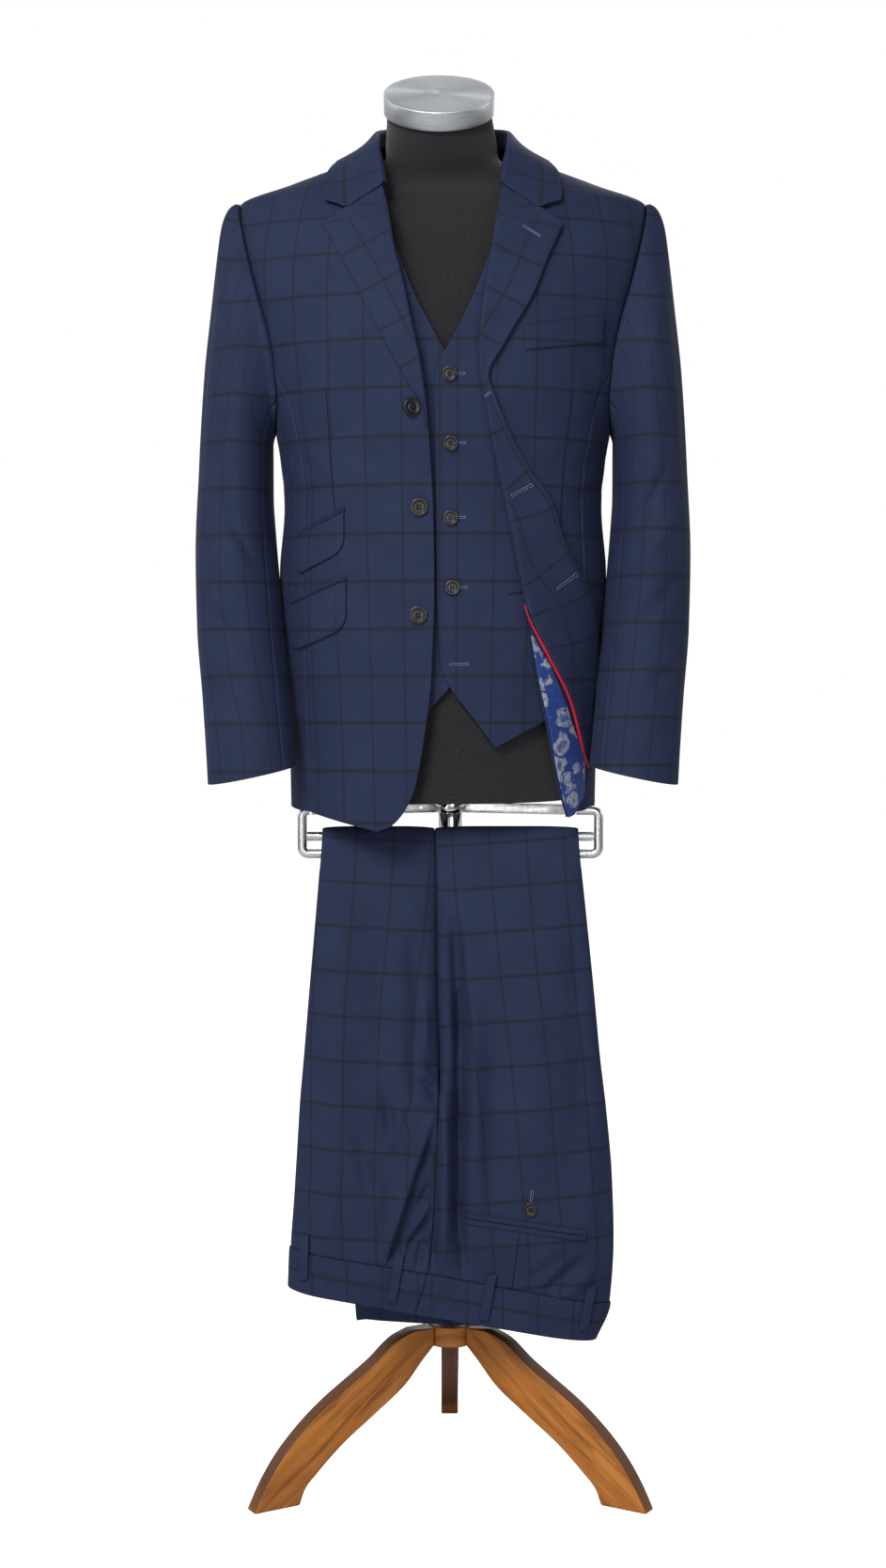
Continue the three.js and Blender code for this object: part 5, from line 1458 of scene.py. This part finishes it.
SEAM_LINES = {      # fine pressed seams: where they run, as x and z down the face
    "dart_line_right": ("body", ((-123, 1209), (-120.5, 1170), (-119, 1135), (-116.5, 1101),
                                 (-114, 1078))),
    "dart_line_left": ("body", ((137, 1206), (131, 1159), (127, 1128), (125, 1082), (124, 1050))),
    "hip_pocket_line_left": ("body", ((161, 1001), (172, 996), (184, 989))),
    "seat_dart_line": ("seat", ((82, 304), (79, 280), (74, 241))),
    "seat_seam_line": ("seat", ((-8, 387), (-9, 350), (-10, 308), (-15, 261)))}


def make_seam_lines():
    for name, (where, rows) in SEAM_LINES.items():
        rows = np.array(rows, float)
        steps = walked(rows)
        at = np.linspace(0, steps[-1], max(int(steps[-1] / 2.5), 6))
        x, z = np.interp(at, steps, rows[:, 0]), np.interp(at, steps, rows[:, 1])
        points = on_body(0.0)(x, z, 0.05) if where == "body" else seat_place(x, z, 0.1)
        taper = 0.35 + 0.65 * np.minimum(1, np.minimum(at, at[-1] - at) / 8)
        # a thin tube in the darker seam cloth along each seam: painted shade of its groove
        finish_piece(tube(name, points, 0.62, sides=3, taper=taper), "seam_cloth", "cloth")


LEG_MEETING = ((-4, -81, 468), (-5, -80, 510), (-6, -78, 560), (-7, -73, 645), (-8, -65, 702),
               (-8, -60, 722), (-8, -52, 735))      # x, y and z, up between the two legs
ROLL_DEPTH = 2.2            # how far behind the face the side seam's turned-in cloth lies
WAIST_ROLL_DEPTH = 2.9


def make_trouser_rolls():
    """The turned-in cloth that closes the trousers' seams from behind."""
    # the rolls take the darker seam cloth: painted shade in the gaps at the seams
    finish_piece(tube("leg_meeting_roll", LEG_MEETING, 1.3, sides=4), "seam_cloth", "cloth")
    at = np.arange(WAISTBAND_TOP + 3, 500, 6.0)
    share = np.linspace(0.5, 0.004, 16)
    level = np.full_like(share, WAISTBAND_TOP + 0.3)
    for side, word in SIDES:
        front, behind = (front_leg(at, side, face, 0 * at + 0.004, ROLL_DEPTH + 0 * at)
                         for face in (1, -1))
        roll = tube("side_seam_roll_" + word, (front + behind) / 2, 1.9, sides=4)
        finish_piece(roll, "seam_cloth", "cloth")
        behind, front = (front_leg(level, side, face, share, WAIST_ROLL_DEPTH + 0 * share)
                         for face in (-1, 1))
        roll = tube("waist_seam_roll_" + word, np.concatenate([behind, front[::-1]]), 1.9, sides=4)
        finish_piece(roll, "seam_cloth", "cloth")


def make_armhole_rolls():
    """The turned-in seam allowance that fills the armhole seam from behind."""
    made = {}
    for side, word in SIDES:
        turn = np.linspace(-168, 168, 120)
        angle, z = armhole(turn % 360)
        points = body_point(angle, z, -3.4 + 0 * z)
        points = (points + into_armhole(points) * 0.8 + [1.1, 0, 0]) * [side, 1, 1]
        roll = tube("armhole_seam_roll_" + word, points, 2.2, sides=4)
        # the darker seam cloth here is painted shade in the armhole gap
        made[word] = finish_piece(roll, "seam_cloth", "cloth")
    return made


# ------------------------------------------------------------------ the piping
piping_path = line_through((0, 153.9, 803.5), (17, 148.8, 820), (78, 133, 879), (132, 109, 928),
                           (181, 89, 968), (200, 84, 984))
PIPING_LENGTH = 196
PIPING_OUT = 4.1
PIPING_RADIUS = 1.75


def make_piping():
    at = np.linspace(0, PIPING_LENGTH, 60)
    x, z = piping_path(at)
    points = body_point(angle_at(x, z), z, PIPING_OUT + 0 * x)
    thick = 0.45 + 0.55 * ease(at / 40) * ease((PIPING_LENGTH - at) / 60)
    piece = tube("front_piping_left", points, PIPING_RADIUS, taper=list(thick), sides=5)
    return finish_piece(piece, "piping", "piping", "facing_piping_left")


# ------------------------------------------------------------------ dress form and stand
CAP_TILT = math.radians(29)
CAP_TOP = np.array([-4.0, -20.0, 1525.0])
CAP_AXIS = np.array([0, -math.sin(CAP_TILT), math.cos(CAP_TILT)])
CAP_RADIUS = 59.5
CAP_THICKNESS = 22.0
FORM_BOTTOM = 768
FORM_LEVELS = (             # height, and how far out its face is from the jacket's
    (FORM_BOTTOM, -19), (778, -19), (870, -19), (940, -19), (1010, -19), (1084, -19), (1165, -19),
    (1230, -21), (1300, -26), (1350, -29), (1385, -29), (1408, -27), (1430, -23), (1450, -19))


def make_form():
    turns = np.linspace(-180, 180, 97)[:-1]
    sine, cosine = np.sin(np.radians(turns)), np.cos(np.radians(turns))
    rings = [body_point(turns, 0 * turns + z, out + 0 * turns) for z, out in FORM_LEVELS]
    neck_end = CAP_TOP + CAP_AXIS * (-CAP_THICKNESS - 0.4)
    slant = np.array([0, math.cos(CAP_TILT), math.sin(CAP_TILT)])
    collar_base = np.stack([63 * sine, 12 - 58 * cosine, 1449 + 0 * turns], -1)
    tilted = neck_end + 56 * sine[:, None] * [1, 0, 0] - 56 * cosine[:, None] * slant
    rings += [mix(collar_base, tilted, t) for t in (0.18, 0.4, 0.7, 1)]
    rings = np.array(rings)
    total = np.linalg.norm(np.diff(rings, axis=0), axis=-1).mean(axis=1).sum()
    grid = resampled(rings, np.linspace(0, total, 130))
    count = len(turns)
    points = [*grid.reshape(-1, 3), np.array([0, 0, FORM_BOTTOM]), neck_end]
    index = np.arange(grid.shape[0] * count).reshape(-1, count)
    after = np.roll(index, -1, axis=1)
    faces = [*np.stack([index[:-1], after[:-1], after[1:], index[1:]], -1).reshape(-1, 4)]
    bottom, top = len(points) - 2, len(points) - 1
    faces += [(bottom, after[0, k], index[0, k]) for k in range(count)]
    faces += [(top, index[-1, k], after[-1, k]) for k in range(count)]
    form = new_object("bust_form", metres(points), [[int(v) for v in face] for face in faces])
    smooth_below(form, 50)
    finish_piece(form, "jersey", "form", "dress_form")


def make_cap():
    """The brushed metal cap, with its brushing round its own middle."""
    cap = round_bar(128, CAP_RADIUS / 1000, CAP_THICKNESS / 1000)
    cap.name = "neck_cap_brushed"
    face_pick(cap, lambda face: face.normal.z > 0.9)
    for _ in range(5):
        bpy.ops.mesh.inset(thickness=0.0085)
    bpy.ops.object.mode_set(mode="OBJECT")
    soften(cap, 1.5, 4, 60)
    layer = cap.data.uv_layers.active or cap.data.uv_layers.new()
    layer.name = "brushing"
    for face in cap.data.polygons:
        centre = face.center
        middle = math.atan2(centre.y, centre.x)
        for loop in face.loop_indices:
            place = cap.data.vertices[cap.data.loops[loop].vertex_index].co
            turn = math.atan2(place.y, place.x)
            turn = middle + (turn - middle + math.pi) % (2 * math.pi) - math.pi
            layer.data[loop].uv = (turn / (2 * math.pi), math.hypot(place.x, place.y) * 8 + place.z)
    cap.rotation_euler = (CAP_TILT, 0, 0)
    cap.location = metres(CAP_TOP - CAP_AXIS * CAP_THICKNESS / 2)
    settle(cap)
    finish_piece(cap, "cap", "brushed", "neck_cap")


LEG_THICKNESS = 20.0
LEG_GRAIN = math.radians(-38)
# The side view of a leg's board: distance from the post and height, along its top and under it.
LEG_TOP = ((26.1, 173), (52, 173), (72, 166), (100, 145), (130, 126), (160, 107), (190, 83),
           (216, 56), (236, 27), (250, 0))
LEG_UNDER = ((195, 0), (188, 17), (172, 33), (143, 58), (100, 87), (62, 114), (40, 138), (26.1, 152))


def smooth_outline(points, count):
    points = np.array(points, float)[:, None, :]
    total = np.linalg.norm(np.diff(points, axis=0), axis=-1).sum()
    return resampled(points, np.linspace(0, total, count))[:, 0]


def lay_board(piece, place_on_board):
    """The board's own coordinates, metres along and across the grain, for every corner."""
    layer = piece.data.uv_layers.active or piece.data.uv_layers.new()
    layer.name = "board"
    for loop in piece.data.loops:
        layer.data[loop.index].uv = place_on_board(piece.data.vertices[loop.vertex_index].co)


def make_leg(name, node, turn):
    """A leg sawn from a board and rounded along its edges; its grain runs along the board."""
    top = np.concatenate([[LEG_TOP[0]], smooth_outline(LEG_TOP[1:], 44)])
    under = smooth_outline(LEG_UNDER, 40)
    outline = np.concatenate([top, under])
    count = len(outline)
    points = np.concatenate([np.stack([outline[:, 0], 0 * outline[:, 0] + s * LEG_THICKNESS / 2,
                                       outline[:, 1]], -1) for s in (-1, 1)]) / 1000
    faces = [tuple(range(count - 1, -1, -1)), tuple(range(count, 2 * count))]
    faces += [(i, (i + 1) % count, count + (i + 1) % count, count + i) for i in range(count)]
    leg = new_object(name, points, faces)
    face_outwards(leg)
    soften(leg, 1.7, 4, 50)
    lay_board(leg, lambda place: (
        place.x * math.cos(LEG_GRAIN) + place.z * math.sin(LEG_GRAIN),
        place.z * math.cos(LEG_GRAIN) - place.x * math.sin(LEG_GRAIN) + place.y * 1.4 + turn * 0.01))
    leg.rotation_euler = (0, 0, math.radians(turn))
    leg.location = metres((POST_X, 0, 0))
    settle(leg)
    finish_piece(leg, "wood", "wood", node)


ARM_END_X = 145.0
ARM_Z = 756.5               # the middle of the arms, the clamp and the rail's end frames
ARM_HEIGHT = 11.0
SCREW_RADIUS = 0.0017
SCREW_SHARES = (0.12, 0.38, 0.72)       # where the screw holes are along an arm


def make_arm(name, node, side):
    """A flat steel arm with screw holes."""
    start = np.array([POST_X + side * 16, -17.0])
    end = np.array([side * (ARM_END_X - 2), RAIL_Y + RAIL_RADIUS + 2])
    length = math.dist(start, end)
    turn = math.atan2(end[1] - start[1], end[0] - start[0])
    clear_selection()
    bpy.ops.mesh.primitive_cube_add(size=1, scale=(length / 1000, 0.0025, ARM_HEIGHT / 1000))
    bar = bpy.context.object
    bar.name = name
    settle(bar)
    soften(bar, 0.5, 2)
    cut_away(bar, join([round_bar(20, SCREW_RADIUS, 0.01, ((share - 0.5) * length / 1000, 0, 0),
                                  rotation=FACING_FRONT) for share in SCREW_SHARES]))
    bar.rotation_euler = (0, 0, turn)
    middle = (start + end) / 2
    bar.location = metres((*middle, ARM_Z))
    settle(bar)
    finish_piece(bar, "steel", "brushed", node)


POST_RADIUS, POST_LENGTH, POST_MIDDLE = 13, 592.8, 471
CLAMP_RADIUS, CLAMP_HEIGHT, CLAMP_WALL = 17, 13, 3.5
HUB_RADIUS, HUB_HEIGHT, HUB_MIDDLE = 25.5, 24, 162
FRAME_BEND = 7.8            # the bends of the rail's end frames
RAIL_BARS = (               # piece, node, height, and how far it stops short of the ends
    ("rail_bar_upper", "rail_upper", RAIL_UPPER_Z, RAIL_RADIUS + 0.4),
    ("rail_bar_lower", "rail_lower", RAIL_LOWER_Z, 13.2))
TRIPOD_TURNS = (("right", 210), ("left", 330), ("rear", 90))


def make_stand():
    post = cylinder("chromed_post", POST_RADIUS, POST_LENGTH, (POST_X, 0, POST_MIDDLE))
    soften(post, 0.6, 2)
    finish_piece(post, "chrome", "chrome", "post")
    clamp = cylinder("post_clamp_ring", CLAMP_RADIUS, CLAMP_HEIGHT, (POST_X, 0, ARM_Z), "NOTHING")
    wall_ring = clamp.modifiers.new("wall", "SOLIDIFY")
    wall_ring.thickness = CLAMP_WALL / 1000
    wall_ring.offset = -1
    take_modifiers(clamp)
    soften(clamp, 0.5, 2)
    finish_piece(clamp, "chrome", "chrome", "post_clamp")
    for side, word in SIDES:
        make_arm("steel_arm_" + word, "cross_arm_" + word, side)
        x = RAIL_ENDS[0] if side < 0 else RAIL_ENDS[1]
        line = rounded_line([(side * ARM_END_X, RAIL_Y, ARM_Z), (x, RAIL_Y, ARM_Z),
                             (x, RAIL_Y, RAIL_LOWER_Z), (x - side * 12.8, RAIL_Y, RAIL_LOWER_Z)],
                            FRAME_BEND)
        end = tube("rail_end_frame_" + word, line, RAIL_RADIUS, sides=10)
        finish_piece(end, "rail", "chrome", "rail_end_" + word)
    for name, node, z, cut in RAIL_BARS:
        line = [(RAIL_ENDS[0] + cut, RAIL_Y, z), (8, RAIL_Y, z), (RAIL_ENDS[1] - cut, RAIL_Y, z)]
        bar = tube(name, line, RAIL_RADIUS, sides=10)
        finish_piece(bar, "rail", "chrome", node)
    hub = cylinder("turned_hub", HUB_RADIUS, HUB_HEIGHT, (POST_X, 0, HUB_MIDDLE))
    soften(hub, 2.2, 4)
    lay_board(hub, lambda place: (place.x, place.y * 0.7 + place.z))
    finish_piece(hub, "wood", "wood", "tripod_hub")
    for word, turn in TRIPOD_TURNS:
        make_leg("wooden_leg_" + word, "tripod_leg_" + word, turn)


# ------------------------------------------------------------------ finishes
finishes = {}


class Nodes:
    """A tree of shader nodes, with short ways to add and join them."""

    def __init__(self, tree):
        self.tree = tree
        tree.nodes.clear()

    def add(self, kind, inputs=None, **settings):
        node = self.tree.nodes.new(kind)
        for key, value in settings.items():
            setattr(node, key, value)
        for key, value in (inputs or {}).items():
            self.feed(value, node.inputs[key])
        return node

    def feed(self, value, socket):
        """A number, a colour or another node's output goes into a socket."""
        if isinstance(value, bpy.types.NodeSocket):
            self.tree.links.new(value, socket)
        elif isinstance(value, tuple) and socket.type == "RGBA":
            socket.default_value = (*value, 1)
        else:
            socket.default_value = value

    def math(self, operation, *values):
        return self.add("ShaderNodeMath", dict(enumerate(values)), operation=operation).outputs[0]

    def map(self, value, from_low, from_high, to_low=0.0, to_high=1.0):
        return self.add("ShaderNodeMapRange", {
            "Value": value, "From Min": from_low, "From Max": from_high, "To Min": to_low,
            "To Max": to_high}, interpolation_type="SMOOTHSTEP").outputs["Result"]

    def blend(self, share, first, second):
        return self.add("ShaderNodeMix", {0: share, 6: first, 7: second},
                        data_type="RGBA").outputs[2]

    def noise(self, vector, scale, detail=2.0, roughness=0.5, distortion=0.0):
        return self.add("ShaderNodeTexNoise", {
            "Vector": vector, "Scale": scale, "Detail": detail, "Roughness": roughness,
            "Distortion": distortion}).outputs["Fac"]

    def lit(self, colour, value):
        """A colour made lighter or darker."""
        return self.add("ShaderNodeHueSaturation", {"Color": colour, "Value": value}).outputs[0]

    def place(self):
        return self.add("ShaderNodeTexCoord").outputs["Object"]

    def uv(self, name):
        return self.add("ShaderNodeUVMap", uv_map=name).outputs["UV"]

    def stretched(self, vector, scale):
        return self.add("ShaderNodeMapping", {"Vector": vector, "Scale": scale}).outputs["Vector"]


class Finish(Nodes):
    """A material with one shader."""
    SOCKETS = {"colour": "Base Color", "rough": "Roughness", "metal": "Metallic",
               "specular": "Specular IOR Level", "sheen": "Sheen Weight",
               "sheen_rough": "Sheen Roughness", "sheen_tint": "Sheen Tint",
               "coat": "Coat Weight", "coat_rough": "Coat Roughness",
               "anisotropy": "Anisotropic", "tangent": "Tangent",
               "glow": "Emission Color", "glow_strength": "Emission Strength"}

    def __init__(self, name):
        self.material = bpy.data.materials.new(name)
        self.material.use_nodes = True
        super().__init__(self.material.node_tree)
        self.shader = self.add("ShaderNodeBsdfPrincipled")
        self.add("ShaderNodeOutputMaterial", {"Surface": self.shader.outputs[0]})

    def set(self, **values):
        for key, value in values.items():
            self.feed(value, self.shader.inputs[self.SOCKETS[key]])
        return self

    def bump(self, height, strength, distance):
        bump = self.add("ShaderNodeBump", {"Strength": strength, "Distance": distance,
                                           "Height": height})
        self.feed(bump.outputs["Normal"], self.shader.inputs["Normal"])


def shade(red, green, blue):
    """A colour given as it is seen, 0 to 255, in the linear light that a shader takes."""
    def linear(value):
        share = value / 255
        return share / 12.92 if share <= 0.04045 else ((share + 0.055) / 1.055) ** 2.4
    return linear(red), linear(green), linear(blue)


NAVY_DARK = shade(32, 39, 63)
NAVY_LIGHT = shade(42, 50, 77)
CHECK_LINE = shade(33, 34, 42)
TWILL_PITCH = 0.0011        # metres from one twill line to the next, and the check lines' raggedness
UPRIGHT_LINE = (0.00145, 0.0008, 0.62)      # half width and soft edge in metres, and strength
LEVEL_LINE = (0.00185, 0.0009, 0.74)


def cloth_finish(name, windowpane=True):
    """Navy worsted twill with a soft brown-grey windowpane, read from the cloth's own coordinates."""
    f = Finish(name)
    uv = f.uv("cloth")
    across, up = f.add("ShaderNodeSeparateXYZ", {0: uv}).outputs[:2]
    ragged = f.math("MULTIPLY", f.math("SUBTRACT", f.noise(uv, 900, 1.0), 0.5), TWILL_PITCH)

    def stripe(value, repeat, half, soft, strength):
        near = f.math("ABSOLUTE", f.math("WRAP", value, repeat / 2000, -repeat / 2000))
        near = f.math("ADD", near, ragged)
        return f.math("MULTIPLY", f.map(near, half + soft, half - soft), strength)

    pick = f.math("SINE", f.math("MULTIPLY", f.math("ADD", across, up), 2 * math.pi / TWILL_PITCH))
    melange = f.noise(f.stretched(uv, (1.0, 0.55, 1.0)), 1500, 2.0, 0.6)
    mottle = f.noise(f.place(), 26, 3.0, 0.55)
    ground = f.blend(f.map(melange, 0.3, 0.7), NAVY_DARK, NAVY_LIGHT)
    colour = f.lit(ground, f.map(mottle, 0.3, 0.7, 0.93, 1.07))
    if windowpane:
        upright = stripe(across, CHECK_ACROSS, *UPRIGHT_LINE)
        level = stripe(up, CHECK_UP, *LEVEL_LINE)
        crossing = f.math("MULTIPLY", f.math("MULTIPLY", upright, level), 0.75)
        check = f.math("SUBTRACT", f.math("ADD", upright, level), crossing)
        colour = f.blend(check, colour, CHECK_LINE)
    f.bump(f.math("ADD", f.math("MULTIPLY", pick, 0.5), melange), 0.25, 0.00022)
    return f.set(colour=colour, rough=0.72, specular=0.1, sheen=0.05, sheen_rough=0.4,
                 sheen_tint=(0.5, 0.58, 0.85))


def plain_finish(name, colour, other, scale, rough, specular=0.3, bump=0.2, distance=0.0002):
    f = Finish(name)
    grain = f.noise(f.place(), scale, 3.0, 0.6)
    f.bump(grain, bump, distance)
    return f.set(colour=f.blend(f.map(grain, 0.3, 0.7), shade(*colour), shade(*other)),
                 rough=rough, specular=specular)


def lining_finish():
    """Satin: a blue ground with silver-grey leaf-like flecks in a loose layout of its own."""
    f = Finish("lining_satin")
    uv = f.uv("cloth")
    warp = f.add("ShaderNodeTexNoise", {"Vector": uv, "Scale": 75})
    lean = f.add("ShaderNodeVectorMath", {0: warp.outputs["Color"], "Scale": 0.016},
                 operation="SCALE")
    bent = f.add("ShaderNodeVectorMath", {0: uv, 1: lean.outputs[0]}, operation="ADD").outputs[0]
    tall = f.stretched(bent, (1.0, 0.62, 1.0))
    cell, rim = (f.add("ShaderNodeTexVoronoi", {"Vector": tall, "Scale": 58}, feature=kind)
                 .outputs["Distance"] for kind in ("F1", "DISTANCE_TO_EDGE"))
    veins = f.map(f.noise(f.stretched(uv, (1.0, 0.35, 1.0)), 620, 3.0, 0.6, 1.2), 0.44, 0.56)
    fleck = f.map(rim, 0.02, 0.07)
    for part in (f.map(cell, 0.52, 0.44),
                 f.math("MULTIPLY_ADD", f.map(cell, 0.20, 0.26), 0.7, 0.3),
                 f.math("MULTIPLY_ADD", veins, 0.75, 0.25)):
        fleck = f.math("MULTIPLY", fleck, part)
    ground = f.blend(f.noise(uv, 260, 2.0), shade(26, 44, 100), shade(44, 70, 140))
    f.bump(fleck, 0.3, 0.0002)
    return f.set(colour=f.blend(fleck, ground, shade(158, 161, 172)),
                 rough=0.42, specular=0.25, sheen=0.05)


def brushed_finish(name, map_name, rough, anisotropy):
    f = Finish(name)
    hair = f.noise(f.stretched(f.uv(map_name), (3.0, 420.0, 1.0)), 3.0, 4.0, 0.7)
    f.bump(hair, 0.12, 0.00008)
    tangent = f.add("ShaderNodeTangent", direction_type="UV_MAP", uv_map=map_name)
    return f.set(colour=f.blend(f.map(hair, 0.3, 0.7), shade(176, 180, 184), shade(206, 209, 212)),
                 rough=f.map(hair, 0.3, 0.7, rough - 0.06, rough + 0.06), metal=1.0,
                 tangent=tangent.outputs[0], anisotropy=anisotropy)


def metal_finish(name, low, high, rough, scale):
    f = Finish(name)
    wear = f.noise(f.place(), scale, 3.0, 0.6)
    f.bump(wear, 0.006, 0.00005)
    return f.set(colour=f.blend(f.map(wear, 0.3, 0.7), shade(*low), shade(*high)),
                 rough=f.map(wear, 0.35, 0.75, rough, rough + 0.04), metal=1.0)


def wood_finish():
    """Varnished hardwood: long grain along the board, fine pores, and painted shade that darkens its
    upper edges and other faces that point up or down.
    """
    f = Finish("varnished_wood")
    uv = f.uv("board")
    broad = f.noise(f.stretched(uv, (5.0, 60.0, 1.0)), 1.6, 4.0, 0.6, 0.8)
    rings = f.noise(f.stretched(uv, (2.2, 34.0, 1.0)), 3.2, 2.0, 0.5, 1.6)
    pores = f.noise(f.stretched(uv, (40.0, 900.0, 1.0)), 2.0, 2.0, 0.7)
    colour = f.blend(f.map(broad, 0.28, 0.72), shade(126, 70, 24), shade(192, 124, 56))
    colour = f.blend(f.map(rings, 0.45, 0.62), colour, shade(168, 104, 42))
    colour = f.blend(f.map(pores, 0.60, 0.74, 0.0, 0.45), colour, shade(74, 38, 16))
    colour = f.lit(colour, f.map(f.noise(f.place(), 9, 2.0), 0.3, 0.7, 0.86, 1.12))
    # painted shade: faces that point up or down are blended towards a dark brown
    normal = f.add("ShaderNodeNewGeometry").outputs["Normal"]
    upness = f.math("ABSOLUTE", f.add("ShaderNodeSeparateXYZ", {0: normal}).outputs[2])
    up_down_shaded = f.blend(f.map(upness, 0.25, 0.55, 0.0, 0.85), colour, shade(72, 40, 22))
    f.bump(pores, 0.15, 0.00012)
    return f.set(colour=up_down_shaded, rough=0.45, specular=0.25, coat=0.05, coat_rough=0.3)


PLAIN_FINISHES = {      # name, two colours, the grain's scale, roughness, gloss, bump and its depth
    # darker than the navy cloth: painted shade in the seams and in the gaps that the rolls fill
    "seam_cloth": ("seam_allowance", (20, 25, 42), (26, 31, 50), 900, 0.8, 0.1),
    "piping": ("crimson_piping", (150, 10, 34), (188, 24, 50), 700, 0.42, 0.4),
    "button": ("dark_horn", (10, 10, 11), (34, 33, 35), 260, 0.28, 0.42, 0.1, 0.0001),
    "thread": ("buttonhole_thread", (84, 95, 136), (116, 127, 170), 1800, 0.6, 0.3),
    # the dark thread finish serves the buttons' real thread and the painted shade in the buttonhole
    # slots
    "thread_dark": ("sewing_thread", (12, 13, 18), (26, 28, 36), 1800, 0.7, 0.2),
    "jersey": ("black_jersey", (25, 24, 26), (43, 42, 45), 900, 0.9, 0.12, 0.35, 0.0004)}
METAL_FINISHES = {      # name, two colours, roughness and the wear's scale
    "steel": ("satin_steel", (168, 170, 172), (204, 205, 206), 0.30, 160),
    "rail": ("satin_chrome", (190, 192, 194), (204, 205, 207), 0.26, 60),
    "chrome": ("polished_chrome", (196, 198, 201), (206, 208, 210), 0.07, 30)}


def make_finishes():
    made = {"cloth": cloth_finish("navy_windowpane_twill"),
            "plain_cloth": cloth_finish("navy_twill", windowpane=False),
            "lining": lining_finish(), "wood": wood_finish(),
            "cap": brushed_finish("brushed_cap_steel", "brushing", 0.34, 0.85)}
    made.update({key: plain_finish(*row) for key, row in PLAIN_FINISHES.items()})
    made.update({key: metal_finish(*row) for key, row in METAL_FINISHES.items()})
    made["jersey"].set(sheen=0.25, sheen_rough=0.5)
    finishes.update({key: finish.material for key, finish in made.items()})


# ------------------------------------------------------------------ the studio
FLAT_AZIMUTH = 0.78         # radians from straight ahead to each of the two bright flats
FLAT_HALF = 0.24
FLAT_SOFT = 0.12
FLAT_DIM = 0.05             # what the room still gives where a flat's gap is
WORLD_LIGHT = 0.08
GLOSS_LIGHT = 0.85
FLOOR_GLOW = (0.04, 0.99)   # what the floor gives to other things, and to the camera
LIGHTS_AIM = Vector((0, 0, 0.85))
STUDIO_LIGHTS = (           # name, place, size and power
    ("key_light", (-1.05, -2.55, 2.9), 1.2, 90), ("fill_light", (0.9, -3.3, 1.3), 1.2, 20),
    ("low_light", (-1.6, -2.8, 0.7), 0.9, 16),
    ("left_rim_light", (-2.6, 0.5, 1.6), 0.8, 7), ("right_rim_light", (2.6, 0.5, 1.6), 0.8, 7),
    ("back_light", (0.4, 2.6, 2.4), 1.6, 30))


def make_floor():
    clear_selection()
    bpy.ops.mesh.primitive_plane_add(size=14, location=(0, 0, 0))
    floor = bpy.context.object
    floor.name = "studio_floor"
    paper = plain_finish("white_paper", (226, 226, 226), (232, 232, 232), 6, 0.9, 0.1, 0.02, 0.0001)
    seen = paper.add("ShaderNodeLightPath").outputs["Is Camera Ray"]
    paper.set(glow=(1, 1, 1), glow_strength=paper.map(seen, 0, 1, *FLOOR_GLOW))
    floor.data.materials.append(paper.material)


def make_world():
    """White to the camera; dim to the cloth, apart from what its gloss sees of the room."""
    world = bpy.data.worlds.new("studio")
    bpy.context.scene.world = world
    world.use_nodes = True
    n = Nodes(world.node_tree)
    path = n.add("ShaderNodeLightPath").outputs
    east, north = n.add("ShaderNodeSeparateXYZ", {
        0: n.add("ShaderNodeTexCoord").outputs["Generated"]}).outputs[:2]
    azimuth = n.math("ABSOLUTE", n.math("ARCTAN2", east, n.math("MULTIPLY", north, -1.0)))
    apart = n.math("ABSOLUTE", n.math("SUBTRACT", azimuth, FLAT_AZIMUTH))
    band = n.map(apart, FLAT_HALF, FLAT_HALF + FLAT_SOFT, FLAT_DIM, 1.0)
    gloss = n.math("MULTIPLY_ADD", path["Is Glossy Ray"], GLOSS_LIGHT - WORLD_LIGHT, WORLD_LIGHT)
    room = n.add("ShaderNodeBackground", {"Strength": n.math("MULTIPLY", band, gloss)})
    sky = n.add("ShaderNodeBackground", {"Color": (1, 1, 1), "Strength": 1.0})
    choice = n.add("ShaderNodeMixShader", {0: path["Is Camera Ray"], 1: room.outputs[0],
                                           2: sky.outputs[0]})
    n.add("ShaderNodeOutputWorld", {"Surface": choice.outputs[0]})


def make_studio():
    make_floor()
    make_world()
    for name, place, size, energy in STUDIO_LIGHTS:
        clear_selection()
        bpy.ops.object.light_add(type="AREA", location=place)
        light = bpy.context.object
        light.name = name
        light.data.size = size
        light.data.energy = energy
        light.rotation_euler = (LIGHTS_AIM - Vector(place)).to_track_quat("-Z", "Y").to_euler()
    bpy.context.scene.view_settings.view_transform = "Standard"
    bpy.context.scene.view_settings.look = "None"


# ------------------------------------------------------------------ putting it together
make_finishes()
make_studio()
pieces = {}
for maker in (make_jacket_body, make_waistcoat, make_sleeves, make_trousers, make_lapels,
              make_pockets, make_collar, make_waistband):
    pieces.update(maker())

RENAMED = "cloth_"
for node, (piece, grid) in pieces.items():
    piece.name = RENAMED + node
    piece.data.name = piece.name
    lining = node == "facing_lining_left"
    plain = node.startswith("belt_loop") or "jet" in node
    finish = "lining" if lining else "plain_cloth" if plain else "cloth"
    finish_piece(piece, finish, "lining" if lining else "cloth", node)

piping = make_piping()
rolls = make_armhole_rolls()
make_seam_lines()
make_trouser_rolls()
make_buttons()
for name, row in BUTTONHOLES.items():
    make_buttonhole("buttonhole_" + name, *row)
make_form()
make_cap()
make_stand()

CARRIED = {"trousers_back_left": ["belt_loop_3", "belt_loop_4", "back_pocket_jet_upper",
                                  "back_pocket_jet_lower"],
           "trousers_back_right": ["belt_loop_1", "belt_loop_2"],
           "jacket_front_right": ["ticket_jet", "hip_jet_right"]}
carried_all = {name for names in CARRIED.values() for name in names}
for node, (piece, grid) in pieces.items():
    if node in carried_all:
        continue
    going = [RENAMED + name for name in CARRIED.get(node, [])]
    if node == "jacket_front_left":
        going.append(piping.name)
    if node.startswith("sleeve_top"):
        going.append(rolls[node.split("_")[-1]].name)
    declare_sheet(grid)

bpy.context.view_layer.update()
clear_selection()
